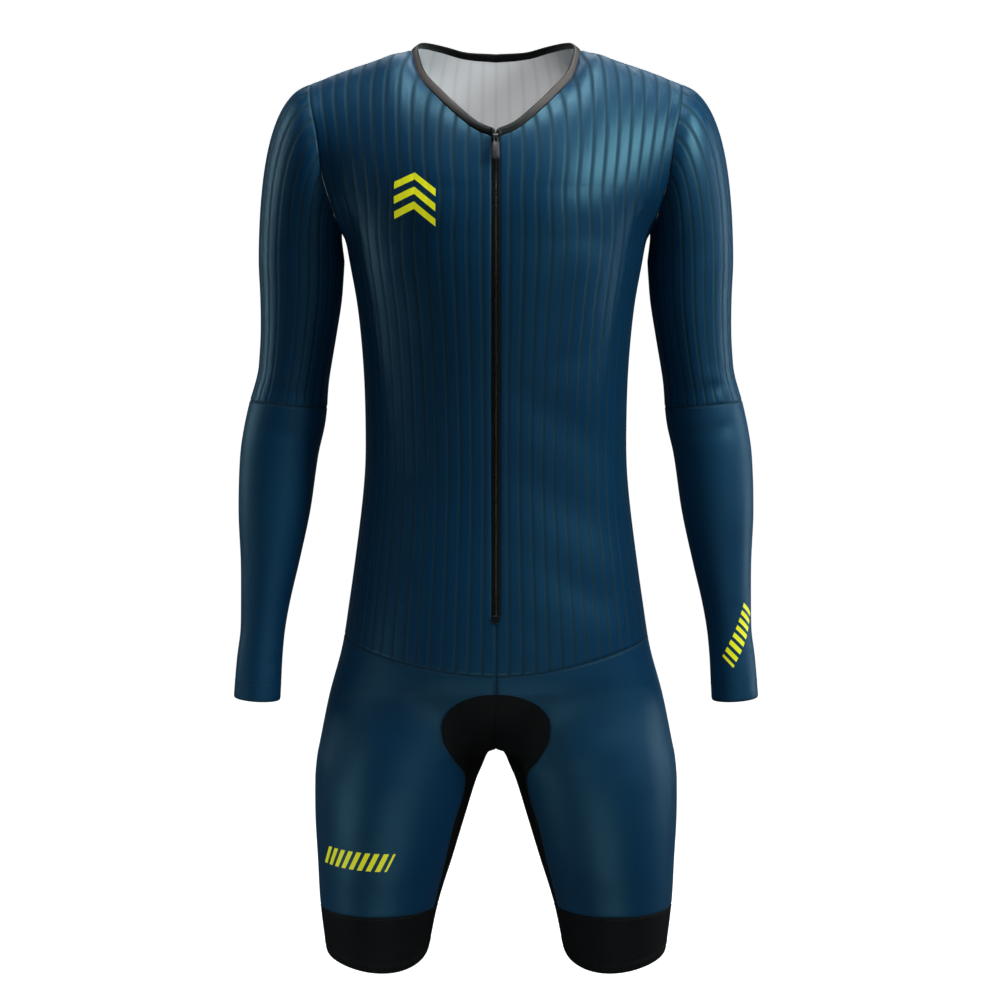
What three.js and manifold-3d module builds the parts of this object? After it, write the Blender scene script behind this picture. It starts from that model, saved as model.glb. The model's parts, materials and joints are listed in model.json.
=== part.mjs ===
import * as THREE from "three";
import { mergeVertices } from "three/addons/utils/BufferGeometryUtils.js";
import Module from "manifold-3d";

// Cycling skinsuit in its worn, filled-out form. Millimetres, +Z up, front towards -Y and the
// wearer's left towards +X. The origin is the middle of the neck opening.

// Cloth
const wallThickness = 1.6;
const bandThickness = 2.0;
const ribHeight = 0.5;
const seamInset = 0.2; // each piece stops this far short of its seam line
const skinSink = 0.15; // the cloth's face lies this far inside the fitted form
const sleeveInset = 0.38;
const armholeSink = 0.3; // the sleeve's edge turns this much further in at the armhole

// Ribs, counted from the centre line outwards on each half of the front and of the back
const ribsPerQuarter = 18;
const ribsToArmhole = 16;
const ribsToNeckPoint = 8;
const ribsPerSleeve = 24;

// Levels
const underarmRing = -200;
const chestLine = -141;
const waistSide = -587;
const waistFrontDip = 28;
const waistBackDip = 12;
const crotchTop = -615; // where the seat starts to turn in towards the crotch
const crotch = -701;
const crotchPower = 2.6;
const gussetTop = -633;
const bandSeam = -862;
const hemLevel = -908;
const hemFrontDip = 12;
const hemInnerLean = 0.4; // the dip is deeper towards the inside leg
const elbowOuter = -353;
const elbowInner = -360;
const cuffOuter = -646.5;
const cuffInner = -650;

// Armhole, an upright oval seen from the side, with its distance from the centre plane below
const armhole = { middle: -113.3, rise: 71.7, reach: 56, y: 2 };

// Front zip
const zipHalfWidth = 3.7;
const zipSlotHalf = 3.8;
const zipEnd = -557.5;
const zipSlotFoot = -561.5;
const slotRibs = 4; // the slot draws in this many ribs on each side
const zipRaise = 0.5;
const zipThickness = 1.8;

// Shoulders: rise of the seam above the straight line from neck to shoulder, and how the cloth
// steepens away from it, in degrees for each millimetre
const shoulderRound = 1;
const shoulderSeamY = -2;
const frontSteepness = 0.65;
const backSteepness = 0.9;
const yokeFullness = 0.85;
const seamPull = 5; // how closely the cloth keeps to the armhole's own curve, near the armhole

// The chest line: its depth at the centre, how full it runs to the sides, and the cloth's lean there
const chestDepth = { front: 112, back: 113, fullness: 2.4 };
const chestLean = { front: 0.22, back: -0.18 };
const underarmFlare = 0.4;

// Neck binding
const bindingWidth = 6.5;
const bindingRaise = 0.5;
const bindingInset = 0.7;
const bindingFacing = {
  front: new THREE.Vector3(0, -0.95, 0.3),
  back: new THREE.Vector3(0, 0.9, 0.4),
  side: new THREE.Vector3(0.6, 0, 0.8),
};

// Half widths and depths of the body of the suit, from the underarm to the hip
const torsoPower = 2.3;
const ovalSteps = 48;
const torsoSections = [
  { z: -187, halfWidth: 149.5, front: 116, back: 112 },
  { z: -215, halfWidth: 144.7, front: 116, back: 111 },
  { z: -250, halfWidth: 138.3, front: 113, back: 107 },
  { z: -290, halfWidth: 133.6, front: 108, back: 100 },
  { z: -340, halfWidth: 130.4, front: 102, back: 94 },
  { z: -405, halfWidth: 129.7, front: 97, back: 90 },
  { z: -440, halfWidth: 131.8, front: 96, back: 90 },
  { z: -485, halfWidth: 137, front: 97, back: 94 },
  { z: -553, halfWidth: 146.5, front: 100, back: 104 },
  { z: -600, halfWidth: 154.5, front: 101, back: 112 },
  { z: -648, halfWidth: 167.5, front: 98, back: 118 },
  { z: -701, halfWidth: 178.5, front: 94, back: 120 },
];

// Inner and outer edge of a leg from the centre plane, and its depth to the front and the back
const legSections = [
  { z: -701, inner: 0, outer: 178.5, front: 88, back: 104 },
  { z: -704, inner: 5, outer: 179.2, front: 88, back: 104 },
  { z: -708, inner: 8.5, outer: 180, front: 88, back: 103 },
  { z: -720, inner: 13.5, outer: 181.5, front: 88, back: 102 },
  { z: -734, inner: 19.5, outer: 182.5, front: 87.5, back: 99 },
  { z: -773, inner: 31.5, outer: 182.5, front: 84, back: 91 },
  { z: -813, inner: 43.5, outer: 180.5, front: 77, back: 80 },
  { z: -862, inner: 58.5, outer: 178, front: 66, back: 68 },
  { z: -921, inner: 70.5, outer: 171, front: 58, back: 59 },
];

// Away from the crotch the leg's inner side keeps this slope up into the seat
const innerSlope = { from: -734, inner: 19.5, slope: -0.305 };

// Half width of the black gusset on the front of the suit, from the centre plane
const gussetArch = { halfWidth: 53, widest: -669 };
const gussetWidestTurn = 0.3;
const halvings = 30;
const gussetEdge = [
  { z: -669, edge: 53 },
  { z: -684, edge: 51 },
  { z: -704, edge: 40.5 },
  { z: -719, edge: 31 },
  { z: -740, edge: 31.5 },
  { z: -773, edge: 41.5 },
  { z: -813, edge: 50.5 },
  { z: -862, edge: 62 },
];

// Distance of the armhole seam from the centre plane
const armholeReach = [
  { z: -41, x: 182.5 },
  { z: -50, x: 182 },
  { z: -70, x: 178.5 },
  { z: -93, x: 173.5 },
  { z: -118, x: 170 },
  { z: -141, x: 166.5 },
  { z: -185, x: 152.5 },
];

// Head of the sleeve, low at the underarm and high at the shoulder: the way it leaves the armhole,
// how far it keeps that way, and how far the arm's own way reaches up into it
const capRing = -217;
const capWay = { outLow: 0.15, outHigh: 0.96, forward: 0.28 };
const capPull = { startLow: 26, startHigh: 124, endLow: 28, endHigh: 275, swing: 4 };

// Sleeve sections from the underarm to the cuff
const armSections = [
  { z: -217, centre: 192.7, halfWidth: 42.4, halfDepth: 47, y: 2 },
  { z: -253, centre: 193.5, halfWidth: 40.3, halfDepth: 45, y: 3 },
  { z: -289, centre: 196.5, halfWidth: 37.5, halfDepth: 43, y: 4 },
  { z: -316, centre: 200, halfWidth: 36.3, halfDepth: 42, y: 5 },
  { z: -338, centre: 204, halfWidth: 36.8, halfDepth: 41.5, y: 5 },
  { z: -355, centre: 207, halfWidth: 38.9, halfDepth: 41, y: 5 },
  { z: -378, centre: 211, halfWidth: 40.2, halfDepth: 41, y: 4 },
  { z: -408, centre: 216.5, halfWidth: 39, halfDepth: 40, y: 2 },
  { z: -463, centre: 221.3, halfWidth: 35.8, halfDepth: 37, y: -3 },
  { z: -513, centre: 225.5, halfWidth: 29.3, halfDepth: 31, y: -9 },
  { z: -553, centre: 230, halfWidth: 24.5, halfDepth: 27, y: -14 },
  { z: -582, centre: 232.8, halfWidth: 22.2, halfDepth: 25, y: -17 },
  { z: -608, centre: 235.6, halfWidth: 22.7, halfDepth: 25, y: -20 },
  { z: -652, centre: 238.6, halfWidth: 23.4, halfDepth: 25, y: -24 },
];

// Neckline from the zip to the side of the neck, by rib, and from the middle of the back
const frontNeckline = [
  { rib: 0, x: 3.8, y: -98, z: -95.5 },
  { rib: 2, x: 22, y: -92, z: -87 },
  { rib: 4, x: 43, y: -79, z: -69 },
  { rib: 5.6, x: 60, y: -60, z: -52 },
  { rib: 7, x: 75, y: -34, z: -34 },
  { rib: 8, x: 82.5, y: -2, z: -9 },
];
const backNeckline = [
  { rib: 0, x: 0, y: 66, z: -13 },
  { rib: 3, x: 32, y: 63, z: -10.5 },
  { rib: 5, x: 54, y: 54, z: -5 },
  { rib: 6.6, x: 71, y: 38, z: -2.5 },
  { rib: 7.4, x: 79, y: 20, z: -4 },
  { rib: 8, x: 82.5, y: -2, z: -9 },
];

const mix = (a, b, t) => a + (b - a) * t;
const smooth = (t) => THREE.MathUtils.smoothstep(t, 0, 1);
const blend = (a, b, t) => a.clone().lerp(b, t);

function hermite(start, end, startSlope, endSlope, t) {
  const t2 = t * t;
  const t3 = t2 * t;
  const keepStart = 2 * t3 - 3 * t2 + 1;
  const keepEnd = 3 * t2 - 2 * t3;
  return keepStart * start + keepEnd * end + (t3 - 2 * t2 + t) * startSlope + (t3 - t2) * endSlope;
}

function hermitePoint(start, end, startPull, endPull, t) {
  return new THREE.Vector3(
    hermite(start.x, end.x, startPull.x, endPull.x, t),
    hermite(start.y, end.y, startPull.y, endPull.y, t),
    hermite(start.z, end.z, startPull.z, endPull.z, t),
  );
}

// Smooth reading of one column of a table, by the column that its rows are ordered by
function readTable(table, key, value, column) {
  const last = table.length - 1;
  const rising = table[last][key] > table[0][key];
  const position = rising ? value : -value;
  const place = (row) => (rising ? row[key] : -row[key]);
  if (position <= place(table[0])) return table[0][column];
  if (position >= place(table[last])) return table[last][column];
  let low = 0;
  while (position > place(table[low + 1])) low += 1;
  const slope = (row) => {
    const before = table[Math.max(row - 1, 0)];
    const after = table[Math.min(row + 1, last)];
    return (after[column] - before[column]) / (place(after) - place(before));
  };
  const span = place(table[low + 1]) - place(table[low]);
  const t = (position - place(table[low])) / span;
  return hermite(table[low][column], table[low + 1][column], slope(low) * span, slope(low + 1) * span, t);
}

// A quarter of a squared-off oval by arc length: t is 0 on the centre line and 1 at the side
function quarterOval(halfWidth, depth, t) {
  const at = (i) => {
    const angle = (i / ovalSteps) * (Math.PI / 2);
    const across = halfWidth * Math.pow(Math.sin(angle), 2 / torsoPower);
    const out = depth * Math.pow(Math.max(Math.cos(angle), 0), 2 / torsoPower);
    return { across, out };
  };
  const points = [];
  const lengths = [0];
  for (let i = 0; i <= ovalSteps; i += 1) points.push(at(i));
  for (let i = 1; i <= ovalSteps; i += 1) {
    const step = Math.hypot(points[i].across - points[i - 1].across, points[i].out - points[i - 1].out);
    lengths.push(lengths[i - 1] + step);
  }
  const wanted = t * lengths[ovalSteps];
  let i = 1;
  while (i < ovalSteps && lengths[i] < wanted) i += 1;
  const part = (wanted - lengths[i - 1]) / (lengths[i] - lengths[i - 1]);
  return {
    across: mix(points[i - 1].across, points[i].across, part),
    out: mix(points[i - 1].out, points[i].out, part),
  };
}

// The body of the suit: turn runs from 0 at centre front through 0.5 at the side to 1 at centre back
function torsoPoint(turn, z) {
  const halfWidth = readTable(torsoSections, "z", z, "halfWidth");
  if (turn <= 0.5) {
    const point = quarterOval(halfWidth, readTable(torsoSections, "z", z, "front"), turn * 2);
    return new THREE.Vector3(point.across, -point.out, z);
  }
  const point = quarterOval(halfWidth, readTable(torsoSections, "z", z, "back"), (1 - turn) * 2);
  return new THREE.Vector3(point.across, point.out, z);
}

function waistHeight(turn) {
  const facing = Math.cos(Math.PI * turn);
  const dip = turn < 0.5 ? waistFrontDip : waistBackDip;
  return waistSide - dip * facing * facing;
}

// The shorts: the half oval of the hips closes into the oval of a leg on its way to the crotch
function shortsPoint(turn, z) {
  const level = Math.min(z, crotch);
  const outside = smooth(Math.min(turn, 1 - turn) * 4);
  const arch = readTable(legSections, "z", level, "inner");
  const straight = z > innerSlope.from ? innerSlope.inner + innerSlope.slope * (z - innerSlope.from) : arch;
  const inner = mix(arch, straight, outside);
  const outer = z > crotch
    ? readTable(torsoSections, "z", z, "halfWidth")
    : readTable(legSections, "z", z, "outer");
  const depth = readTable(legSections, "z", level, turn < 0.5 ? "front" : "back");
  const angle = 2 * Math.PI * turn;
  const middle = (inner + outer) / 2;
  const halfWidth = (outer - inner) / 2;
  const leg = new THREE.Vector3(middle - halfWidth * Math.cos(angle), -depth * Math.sin(angle), z);
  if (z <= crotch) return leg;
  const fall = Math.min(Math.max((crotchTop - z) / (crotchTop - crotch), 0), 1);
  const curve = 1 - Math.pow(1 - Math.pow(fall, crotchPower), 1 / crotchPower);
  const closing = mix(curve, smooth(fall), outside);
  return blend(torsoPoint(turn, z), leg, closing);
}

// Points of the armhole: angle 0 is the underarm, a quarter turn the front, a half turn the shoulder
function armholePoint(angle) {
  const z = armhole.middle - armhole.rise * Math.cos(angle);
  const y = armhole.y - armhole.reach * Math.sin(angle);
  return new THREE.Vector3(readTable(armholeReach, "z", z, "x"), y, z);
}
const armholeCorner = Math.acos((armhole.middle - chestLine) / armhole.rise);

// The line across the upper chest or back that ends at the armhole and then follows its lower part
function chestPoint(side, column) {
  const frontAngle = side === "front" ? armholeCorner : -armholeCorner;
  if (column >= ribsToArmhole) {
    const part = (column - ribsToArmhole) / (ribsPerQuarter - ribsToArmhole);
    return armholePoint(frontAngle * (1 - part));
  }
  const corner = armholePoint(frontAngle);
  const part = column / ribsToArmhole;
  const depth = side === "front" ? -chestDepth.front : chestDepth.back;
  const y = mix(depth, corner.y, Math.pow(part, chestDepth.fullness));
  return new THREE.Vector3(corner.x * part, y, chestLine);
}

// Where a column of ribs ends: on the neckline, or on the shoulder seam from neck to shoulder
function topPoint(side, column) {
  const table = side === "front" ? frontNeckline : backNeckline;
  if (column <= ribsToNeckPoint) {
    const read = (name) => readTable(table, "rib", column, name);
    return new THREE.Vector3(read("x"), read("y"), read("z"));
  }
  const neckPoint = topPoint(side, ribsToNeckPoint);
  const part = (column - ribsToNeckPoint) / (ribsToArmhole - ribsToNeckPoint);
  const point = blend(neckPoint, armholePoint(Math.PI), part);
  point.z += shoulderRound * Math.sin(Math.PI * part);
  return point;
}

// The way a column runs at its top end: level over the shoulder, steeper further from it
function topWay(side, column) {
  const fromShoulder = Math.max(Math.abs(topPoint(side, column).y - shoulderSeamY), 0);
  const steep = side === "front" ? frontSteepness : backSteepness;
  const angle = THREE.MathUtils.degToRad(fromShoulder * steep);
  return new THREE.Vector3(0, side === "front" ? Math.cos(angle) : -Math.cos(angle), Math.sin(angle));
}

// A point of the front or back above the underarm ring: rise is 0 to 1 up to the chest line,
// and 1 to 2 from there to the neckline and shoulder
function yokePoint(side, column, rise) {
  const turn = side === "front" ? column / ribsPerQuarter / 2 : 1 - column / ribsPerQuarter / 2;
  const chest = chestPoint(side, column);
  const chestWay = new THREE.Vector3(0, chestLean[side], 1).normalize();
  if (rise <= 1) {
    const ring = torsoPoint(turn, underarmRing);
    const below = torsoPoint(turn, underarmRing - 1);
    const height = chest.z - ring.z;
    const past = Math.max(column - ribsToArmhole, 0) / (ribsPerQuarter - ribsToArmhole);
    const endPull = blend(chestWay, new THREE.Vector3(underarmFlare, 0, 1), past).multiplyScalar(height);
    return hermitePoint(ring, chest, ring.clone().sub(below).multiplyScalar(height), endPull, rise);
  }
  const plain = (at) => {
    const start = chestPoint(side, at);
    const end = topPoint(side, at);
    const pull = yokeFullness * start.distanceTo(end);
    const startPull = chestWay.clone().multiplyScalar(pull);
    const endPull = topWay(side, at).multiplyScalar(pull);
    return hermitePoint(start, end, startPull, endPull, rise - 1);
  };
  const nearSeam = Math.pow(column / ribsToArmhole, seamPull);
  const drift = yokeEdge(side, rise - 1).sub(plain(ribsToArmhole));
  return plain(column).addScaledVector(drift, nearSeam);
}

// The upper part of the armhole, from the chest line to the shoulder
function yokeEdge(side, rise) {
  const angle = mix(armholeCorner, Math.PI, rise);
  return armholePoint(side === "front" ? angle : -angle);
}

// The slot for the zip: the centre edges of the fronts stand apart above its foot
function slotShift(point, column) {
  if (point.z <= zipSlotFoot) return point;
  const opening = Math.min((point.z - zipSlotFoot) / (zipEnd - zipSlotFoot), 1);
  const near = Math.max(1 - column / slotRibs, 0);
  point.x = Math.max(point.x, 0) + (zipSlotHalf - Math.min(point.x, zipSlotHalf)) * opening * near * near;
  return point;
}

const bodyRows = [crotchTop, zipSlotFoot, zipEnd, -470, -375, -285, underarmRing];
const chestRows = 1;
const yokeRows = 5;

// Half of the front or back as grids of points, rows going up and columns in steps of half a rib
function torsoGrids(side) {
  const columns = [];
  for (let i = 0; i <= 2 * ribsPerQuarter; i += 1) columns.push(i / 2);
  if (side === "back") columns.reverse();
  const place = (point, column) => (side === "front" ? slotShift(point, column) : point);
  const cell = (point, column, atEdge) => {
    const crest = Math.round(column * 2) % 2 === 1;
    return { point: place(point, column), lift: crest && !atEdge ? ribHeight : 0 };
  };
  const levels = bodyRows.filter((level) => side === "front" || level !== zipSlotFoot);
  const lower = levels.map((level) => {
    const up = (level - crotchTop) / (underarmRing - crotchTop);
    return columns.map((column) => {
      const turn = side === "front" ? column / ribsPerQuarter / 2 : 1 - column / ribsPerQuarter / 2;
      return cell(torsoPoint(turn, mix(waistHeight(turn), underarmRing, up)), column, false);
    });
  });
  const chest = [];
  for (let row = 0; row <= chestRows; row += 1) {
    const rise = row / chestRows;
    chest.push(columns.map((column) => cell(yokePoint(side, column, rise), column, false)));
  }
  const inner = columns.filter((column) => column <= ribsToArmhole);
  const yoke = [];
  for (let row = 0; row <= yokeRows; row += 1) {
    const rise = 1 + row / yokeRows;
    const atNeck = (column) => row === yokeRows && column <= ribsToNeckPoint;
    yoke.push(inner.map((column) => cell(yokePoint(side, column, rise), column, atNeck(column))));
  }
  return [lower, chest, yoke];
}

function mirrored(grid) {
  const flip = ({ point, lift }) => ({ point: new THREE.Vector3(-point.x, point.y, point.z), lift });
  return grid.map((row) => row.map(flip).reverse());
}

// The corner points of the torso's armhole edge, all the way round from the underarm by the front
function armholeEdge() {
  const front = [];
  const back = [];
  for (let column = ribsPerQuarter; column >= ribsToArmhole; column -= 0.5) {
    front.push(chestPoint("front", column));
    back.push(chestPoint("back", column));
  }
  for (let row = 1; row <= yokeRows; row += 1) {
    front.push(yokeEdge("front", row / yokeRows));
    back.push(yokeEdge("back", row / yokeRows));
  }
  back.pop();
  back.reverse();
  return [...front, ...back];
}
const armholeLine = armholeEdge();

// A point on that edge at an angle round it, on the straight stretch between two corners
function armholeEdgePoint(angle) {
  const around = (point) => {
    const turn = Math.atan2((armhole.y - point.y) / armhole.reach, (armhole.middle - point.z) / armhole.rise);
    return turn < -1e-6 ? turn + 2 * Math.PI : Math.max(turn, 0);
  };
  const count = armholeLine.length;
  for (let i = 0; i < count; i += 1) {
    const from = around(armholeLine[i]);
    const to = i === count - 1 ? 2 * Math.PI : around(armholeLine[i + 1]);
    if (angle >= from - 1e-9 && angle <= to + 1e-9) {
      return blend(armholeLine[i], armholeLine[(i + 1) % count], (angle - from) / (to - from));
    }
  }
  return armholeLine[0].clone();
}

function armPoint(angle, z) {
  const read = (name) => readTable(armSections, "z", z, name);
  const x = read("centre") - read("halfWidth") * Math.cos(angle);
  return new THREE.Vector3(x, read("y") - read("halfDepth") * Math.sin(angle), z);
}

// A sleeve seam that runs level but for its slope from the inner to the outer side
function armSeamPoint(angle, inner, outer) {
  return armPoint(angle, mix(outer, inner, (1 + Math.cos(angle)) / 2));
}

const capRows = 5;
const upperArmRows = 3;
const lowerSleeveRows = 5;

// The head of the sleeve: columns leave the armhole outwards and turn down along the arm
function capPoint(angle, down) {
  const start = armholeEdgePoint(angle);
  const end = armPoint(angle, capRing);
  const high = (1 - Math.cos(angle)) / 2;
  const outward = mix(capWay.outLow, capWay.outHigh, Math.sqrt(high));
  const forward = -capWay.forward * Math.sin(angle);
  const downward = -Math.sqrt(Math.max(1 - outward ** 2 - forward ** 2, 0));
  const startPull = new THREE.Vector3(outward, forward, downward);
  startPull.multiplyScalar(mix(capPull.startLow, capPull.startHigh, high));
  const endReach = mix(capPull.endLow, capPull.endHigh, high * high);
  const endPull = new THREE.Vector3(capPull.swing * high, 0, -endReach);
  return hermitePoint(start, end, startPull, endPull, down);
}

function upperSleeveGrid() {
  const rows = [];
  const columns = 2 * ribsPerSleeve;
  const addRow = (pointAt, sink = 0) => {
    const row = [];
    for (let i = 0; i <= columns; i += 1) {
      const angle = ((i % columns) / columns) * 2 * Math.PI;
      row.push({ point: pointAt(angle), lift: i % 2 === 1 ? ribHeight - 2 * sink : -sink });
    }
    rows.push(row);
  };
  for (let i = 0; i <= capRows; i += 1) {
    addRow((angle) => capPoint(angle, i / capRows), i === 0 ? armholeSink : 0);
  }
  for (let i = 1; i <= upperArmRows; i += 1) {
    const down = i / upperArmRows;
    addRow((angle) => {
      const seam = armSeamPoint(angle, elbowInner, elbowOuter);
      return armPoint(angle, mix(capRing, seam.z, down));
    });
  }
  return rows.reverse();
}

function tubeGrid(rowCount, columnCount, pointAt) {
  const rows = [];
  for (let i = 0; i <= rowCount; i += 1) {
    const row = [];
    for (let j = 0; j <= columnCount; j += 1) {
      row.push({ point: pointAt((j % columnCount) / columnCount, i / rowCount), lift: 0 });
    }
    rows.push(row);
  }
  return rows;
}

function lowerSleeveGrid() {
  return tubeGrid(lowerSleeveRows, ribsPerSleeve, (turn, up) => {
    const angle = turn * 2 * Math.PI;
    const cuff = armSeamPoint(angle, cuffInner, cuffOuter);
    const elbow = armSeamPoint(angle, elbowInner, elbowOuter);
    return armPoint(angle, mix(cuff.z, elbow.z, up));
  });
}

const legLevels = [bandSeam, -818, -773, -740, -722, -709, crotch];
const seatLevels = [-690, -669, -650, -638, gussetTop, -624];
const shortsLevels = [...legLevels, ...seatLevels];
const legColumns = 24;
const gussetColumns = 4;
const bandRows = 2;

function legBandGrid() {
  return tubeGrid(bandRows, legColumns, (turn, up) => {
    const facing = Math.max(Math.sin(2 * Math.PI * turn), 0);
    const dip = hemFrontDip * facing * (1 + hemInnerLean * Math.cos(2 * Math.PI * turn));
    return shortsPoint(turn, mix(hemLevel - dip, bandSeam, up));
  });
}

// The turn at which the gusset's seam crosses a level
function gussetTurn(z) {
  if (z >= gussetTop) return 0;
  const above = (z - gussetArch.widest) / (gussetTop - gussetArch.widest);
  const edge = above > 0
    ? gussetArch.halfWidth * Math.sqrt(1 - above * above)
    : readTable(gussetEdge, "z", z, "edge");
  let low = 0;
  let high = gussetWidestTurn;
  for (let i = 0; i < halvings; i += 1) {
    const turn = (low + high) / 2;
    if (shortsPoint(turn, z).x < edge) low = turn;
    else high = turn;
  }
  return (low + high) / 2;
}

function legGrid() {
  const rows = shortsLevels.map((z) => {
    const seam = gussetTurn(z);
    const row = [];
    for (let i = 0; i <= legColumns; i += 1) {
      const turn = i / legColumns;
      const shift = seam * Math.max(1 - 4 * Math.min(turn, 1 - turn), 0) * (turn < 0.5 ? 1 : -1);
      row.push({ point: shortsPoint(turn + shift, z), lift: 0 });
    }
    return row;
  });
  const waist = [];
  for (let i = 0; i <= legColumns; i += 1) {
    const turn = i / legColumns;
    waist.push({ point: torsoPoint(turn, waistHeight(turn)), lift: 0 });
  }
  rows.push(waist);
  return rows;
}

function gussetGrids() {
  const levels = shortsLevels.filter((z) => z <= gussetTop);
  const strip = (turnAt) =>
    levels.map((z) => {
      const row = [];
      for (let i = 0; i <= gussetColumns; i += 1) {
        row.push({ point: shortsPoint(turnAt(gussetTurn(z), i / gussetColumns), z), lift: 0 });
      }
      return row;
    });
  const front = strip((seam, part) => seam * part);
  const back = strip((seam, part) => 1 - seam * (1 - part));
  return [front, back];
}

// The way that the binding goes on past the neckline, square to it and along the cloth
function bindingWay(side, column) {
  const step = 0.05;
  const along = topPoint(side, Math.min(column + step, ribsToNeckPoint));
  along.sub(topPoint(side, Math.max(column - step, 0))).normalize();
  const facing = blend(bindingFacing[side], bindingFacing.side, column / ribsToNeckPoint);
  return facing.cross(along).normalize().multiplyScalar(side === "front" ? 1 : -1);
}

// Half of the neck binding, from the zip round to the middle of the back
function bindingGrid() {
  const ends = [];
  for (let i = 0; i <= 2 * ribsToNeckPoint; i += 1) {
    ends.push({ point: topPoint("front", i / 2), way: bindingWay("front", i / 2) });
  }
  for (let i = 2 * ribsToNeckPoint - 1; i >= 0; i -= 1) {
    ends.push({ point: topPoint("back", i / 2), way: bindingWay("back", i / 2) });
  }
  ends[0].way.x = 0;
  ends[ends.length - 1].way.x = 0;
  return [0, bindingWidth].map((out) =>
    ends.map(({ point, way }) => ({ point: point.clone().addScaledVector(way, out), lift: bindingRaise })),
  );
}

// The zip's chain lies in the slot, on the points of the fronts' centre edge
function zipGrid() {
  const centre = [];
  for (const level of bodyRows) {
    if (level >= zipEnd) centre.push(torsoPoint(0, level));
  }
  for (let row = 1; row <= chestRows; row += 1) centre.push(yokePoint("front", 0, row / chestRows));
  for (let row = 1; row <= yokeRows; row += 1) centre.push(yokePoint("front", 0, 1 + row / yokeRows));
  const across = [-zipHalfWidth, 0, zipHalfWidth];
  return centre.map(({ y, z }) => across.map((x) => ({ point: new THREE.Vector3(x, y, z), lift: zipRaise })));
}

const sharpestCorner = 0.4; // keeps a corner's inset from running away
const pointKey = (point) => [point.x, point.y, point.z].map((value) => Math.round(value * 500)).join(",");

// Grids welded into one open skin: its points, their lifts, its faces, and for each point the one
// that its inside is merged into, because the inside of ribbed cloth has no ribs
function weldGrids(grids) {
  const skin = { points: [], lifts: [], insides: [], faces: [] };
  const known = new Map();
  const indexOf = ({ point, lift }) => {
    const key = pointKey(point);
    if (!known.has(key)) {
      known.set(key, skin.points.length);
      skin.points.push(point.clone());
      skin.lifts.push(lift);
      skin.insides.push(skin.insides.length);
    }
    return known.get(key);
  };
  const addFace = (a, b, c) => {
    if (a !== b && b !== c && c !== a) skin.faces.push([a, b, c]);
  };
  for (const grid of grids) {
    const ribbed = grid.some((row) => row[1].lift !== row[0].lift);
    const rows = grid.map((row) => row.map(indexOf));
    for (const row of rows) {
      for (let j = 1; ribbed && j < row.length; j += 2) skin.insides[row[j]] = row[j - 1];
    }
    for (let i = 0; i + 1 < rows.length; i += 1) {
      for (let j = 0; j + 1 < rows[i].length; j += 1) {
        addFace(rows[i][j], rows[i][j + 1], rows[i + 1][j + 1]);
        addFace(rows[i][j], rows[i + 1][j + 1], rows[i + 1][j]);
      }
    }
  }
  return skin;
}

// The way each point faces, over all the pieces that meet there, so that walls meet in line
function facingOf(grids) {
  const skin = weldGrids(grids);
  const facing = new Map(skin.points.map((point) => [pointKey(point), new THREE.Vector3()]));
  for (const corners of skin.faces) {
    const [a, b, c] = corners.map((index) => skin.points[index]);
    const way = b.clone().sub(a).cross(c.clone().sub(a));
    for (const point of [a, b, c]) facing.get(pointKey(point)).add(way);
  }
  for (const way of facing.values()) way.normalize();
  return facing;
}

// One closed wall over grids of points: its face raised by each point's lift, its inside plain
function clothWall(grids, facing, thickness, inset) {
  const { points, lifts, insides, faces } = weldGrids(grids);
  const ways = points.map((point) => facing.get(pointKey(point)));
  const sides = new Map();
  for (const [a, b, c] of faces) {
    for (const [from, to] of [[a, b], [b, c], [c, a]]) sides.set(`${from},${to}`, [from, to]);
  }
  const rim = [...sides.values()].filter(([from, to]) => !sides.has(`${to},${from}`));
  const inward = new Map();
  for (const [from, to] of rim) {
    const along = points[to].clone().sub(points[from]).normalize();
    for (const index of [from, to]) {
      if (!inward.has(index)) inward.set(index, []);
      inward.get(index).push(ways[index].clone().cross(along).normalize());
    }
  }
  for (const [index, moves] of inward) {
    const move = new THREE.Vector3();
    for (const part of moves) move.add(part);
    move.normalize();
    points[index].addScaledVector(move, inset / Math.max(move.dot(moves[0]), sharpestCorner));
  }
  const positions = [];
  const addLayer = (outOf) => {
    points.forEach((point, i) => {
      positions.push(...point.clone().addScaledVector(ways[i], outOf(i)).toArray());
    });
  };
  addLayer((i) => lifts[i] - skinSink);
  addLayer(() => -thickness);
  const inside = (index) => insides[index] + points.length;
  const triangles = [];
  const addTriangle = (a, b, c) => {
    if (a !== b && b !== c && c !== a) triangles.push(a, b, c);
  };
  for (const [a, b, c] of faces) {
    addTriangle(a, b, c);
    addTriangle(inside(c), inside(b), inside(a));
  }
  for (const [from, to] of rim) {
    addTriangle(to, from, inside(from));
    addTriangle(to, inside(from), inside(to));
  }
  const geometry = new THREE.BufferGeometry();
  geometry.setAttribute("position", new THREE.Float32BufferAttribute(positions, 3));
  geometry.setIndex(triangles);
  const plain = geometry.toNonIndexed();
  plain.computeVertexNormals();
  return plain;
}

// Small hard parts are joined from plain solids
const wasm = await Module();
wasm.setup();

function toSolid(geometry) {
  const plain = geometry.clone();
  plain.deleteAttribute("normal");
  plain.deleteAttribute("uv");
  const merged = mergeVertices(plain, 1e-4);
  const vertProperties = new Float32Array(merged.attributes.position.array);
  const triVerts = new Uint32Array(merged.index.array);
  return new wasm.Manifold(new wasm.Mesh({ numProp: 3, vertProperties, triVerts }));
}

function fromSolid(solid) {
  const mesh = solid.getMesh();
  const geometry = new THREE.BufferGeometry();
  geometry.setAttribute("position", new THREE.Float32BufferAttribute(mesh.vertProperties, 3));
  geometry.setIndex([...mesh.triVerts]);
  geometry.computeVertexNormals();
  return geometry;
}

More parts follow.
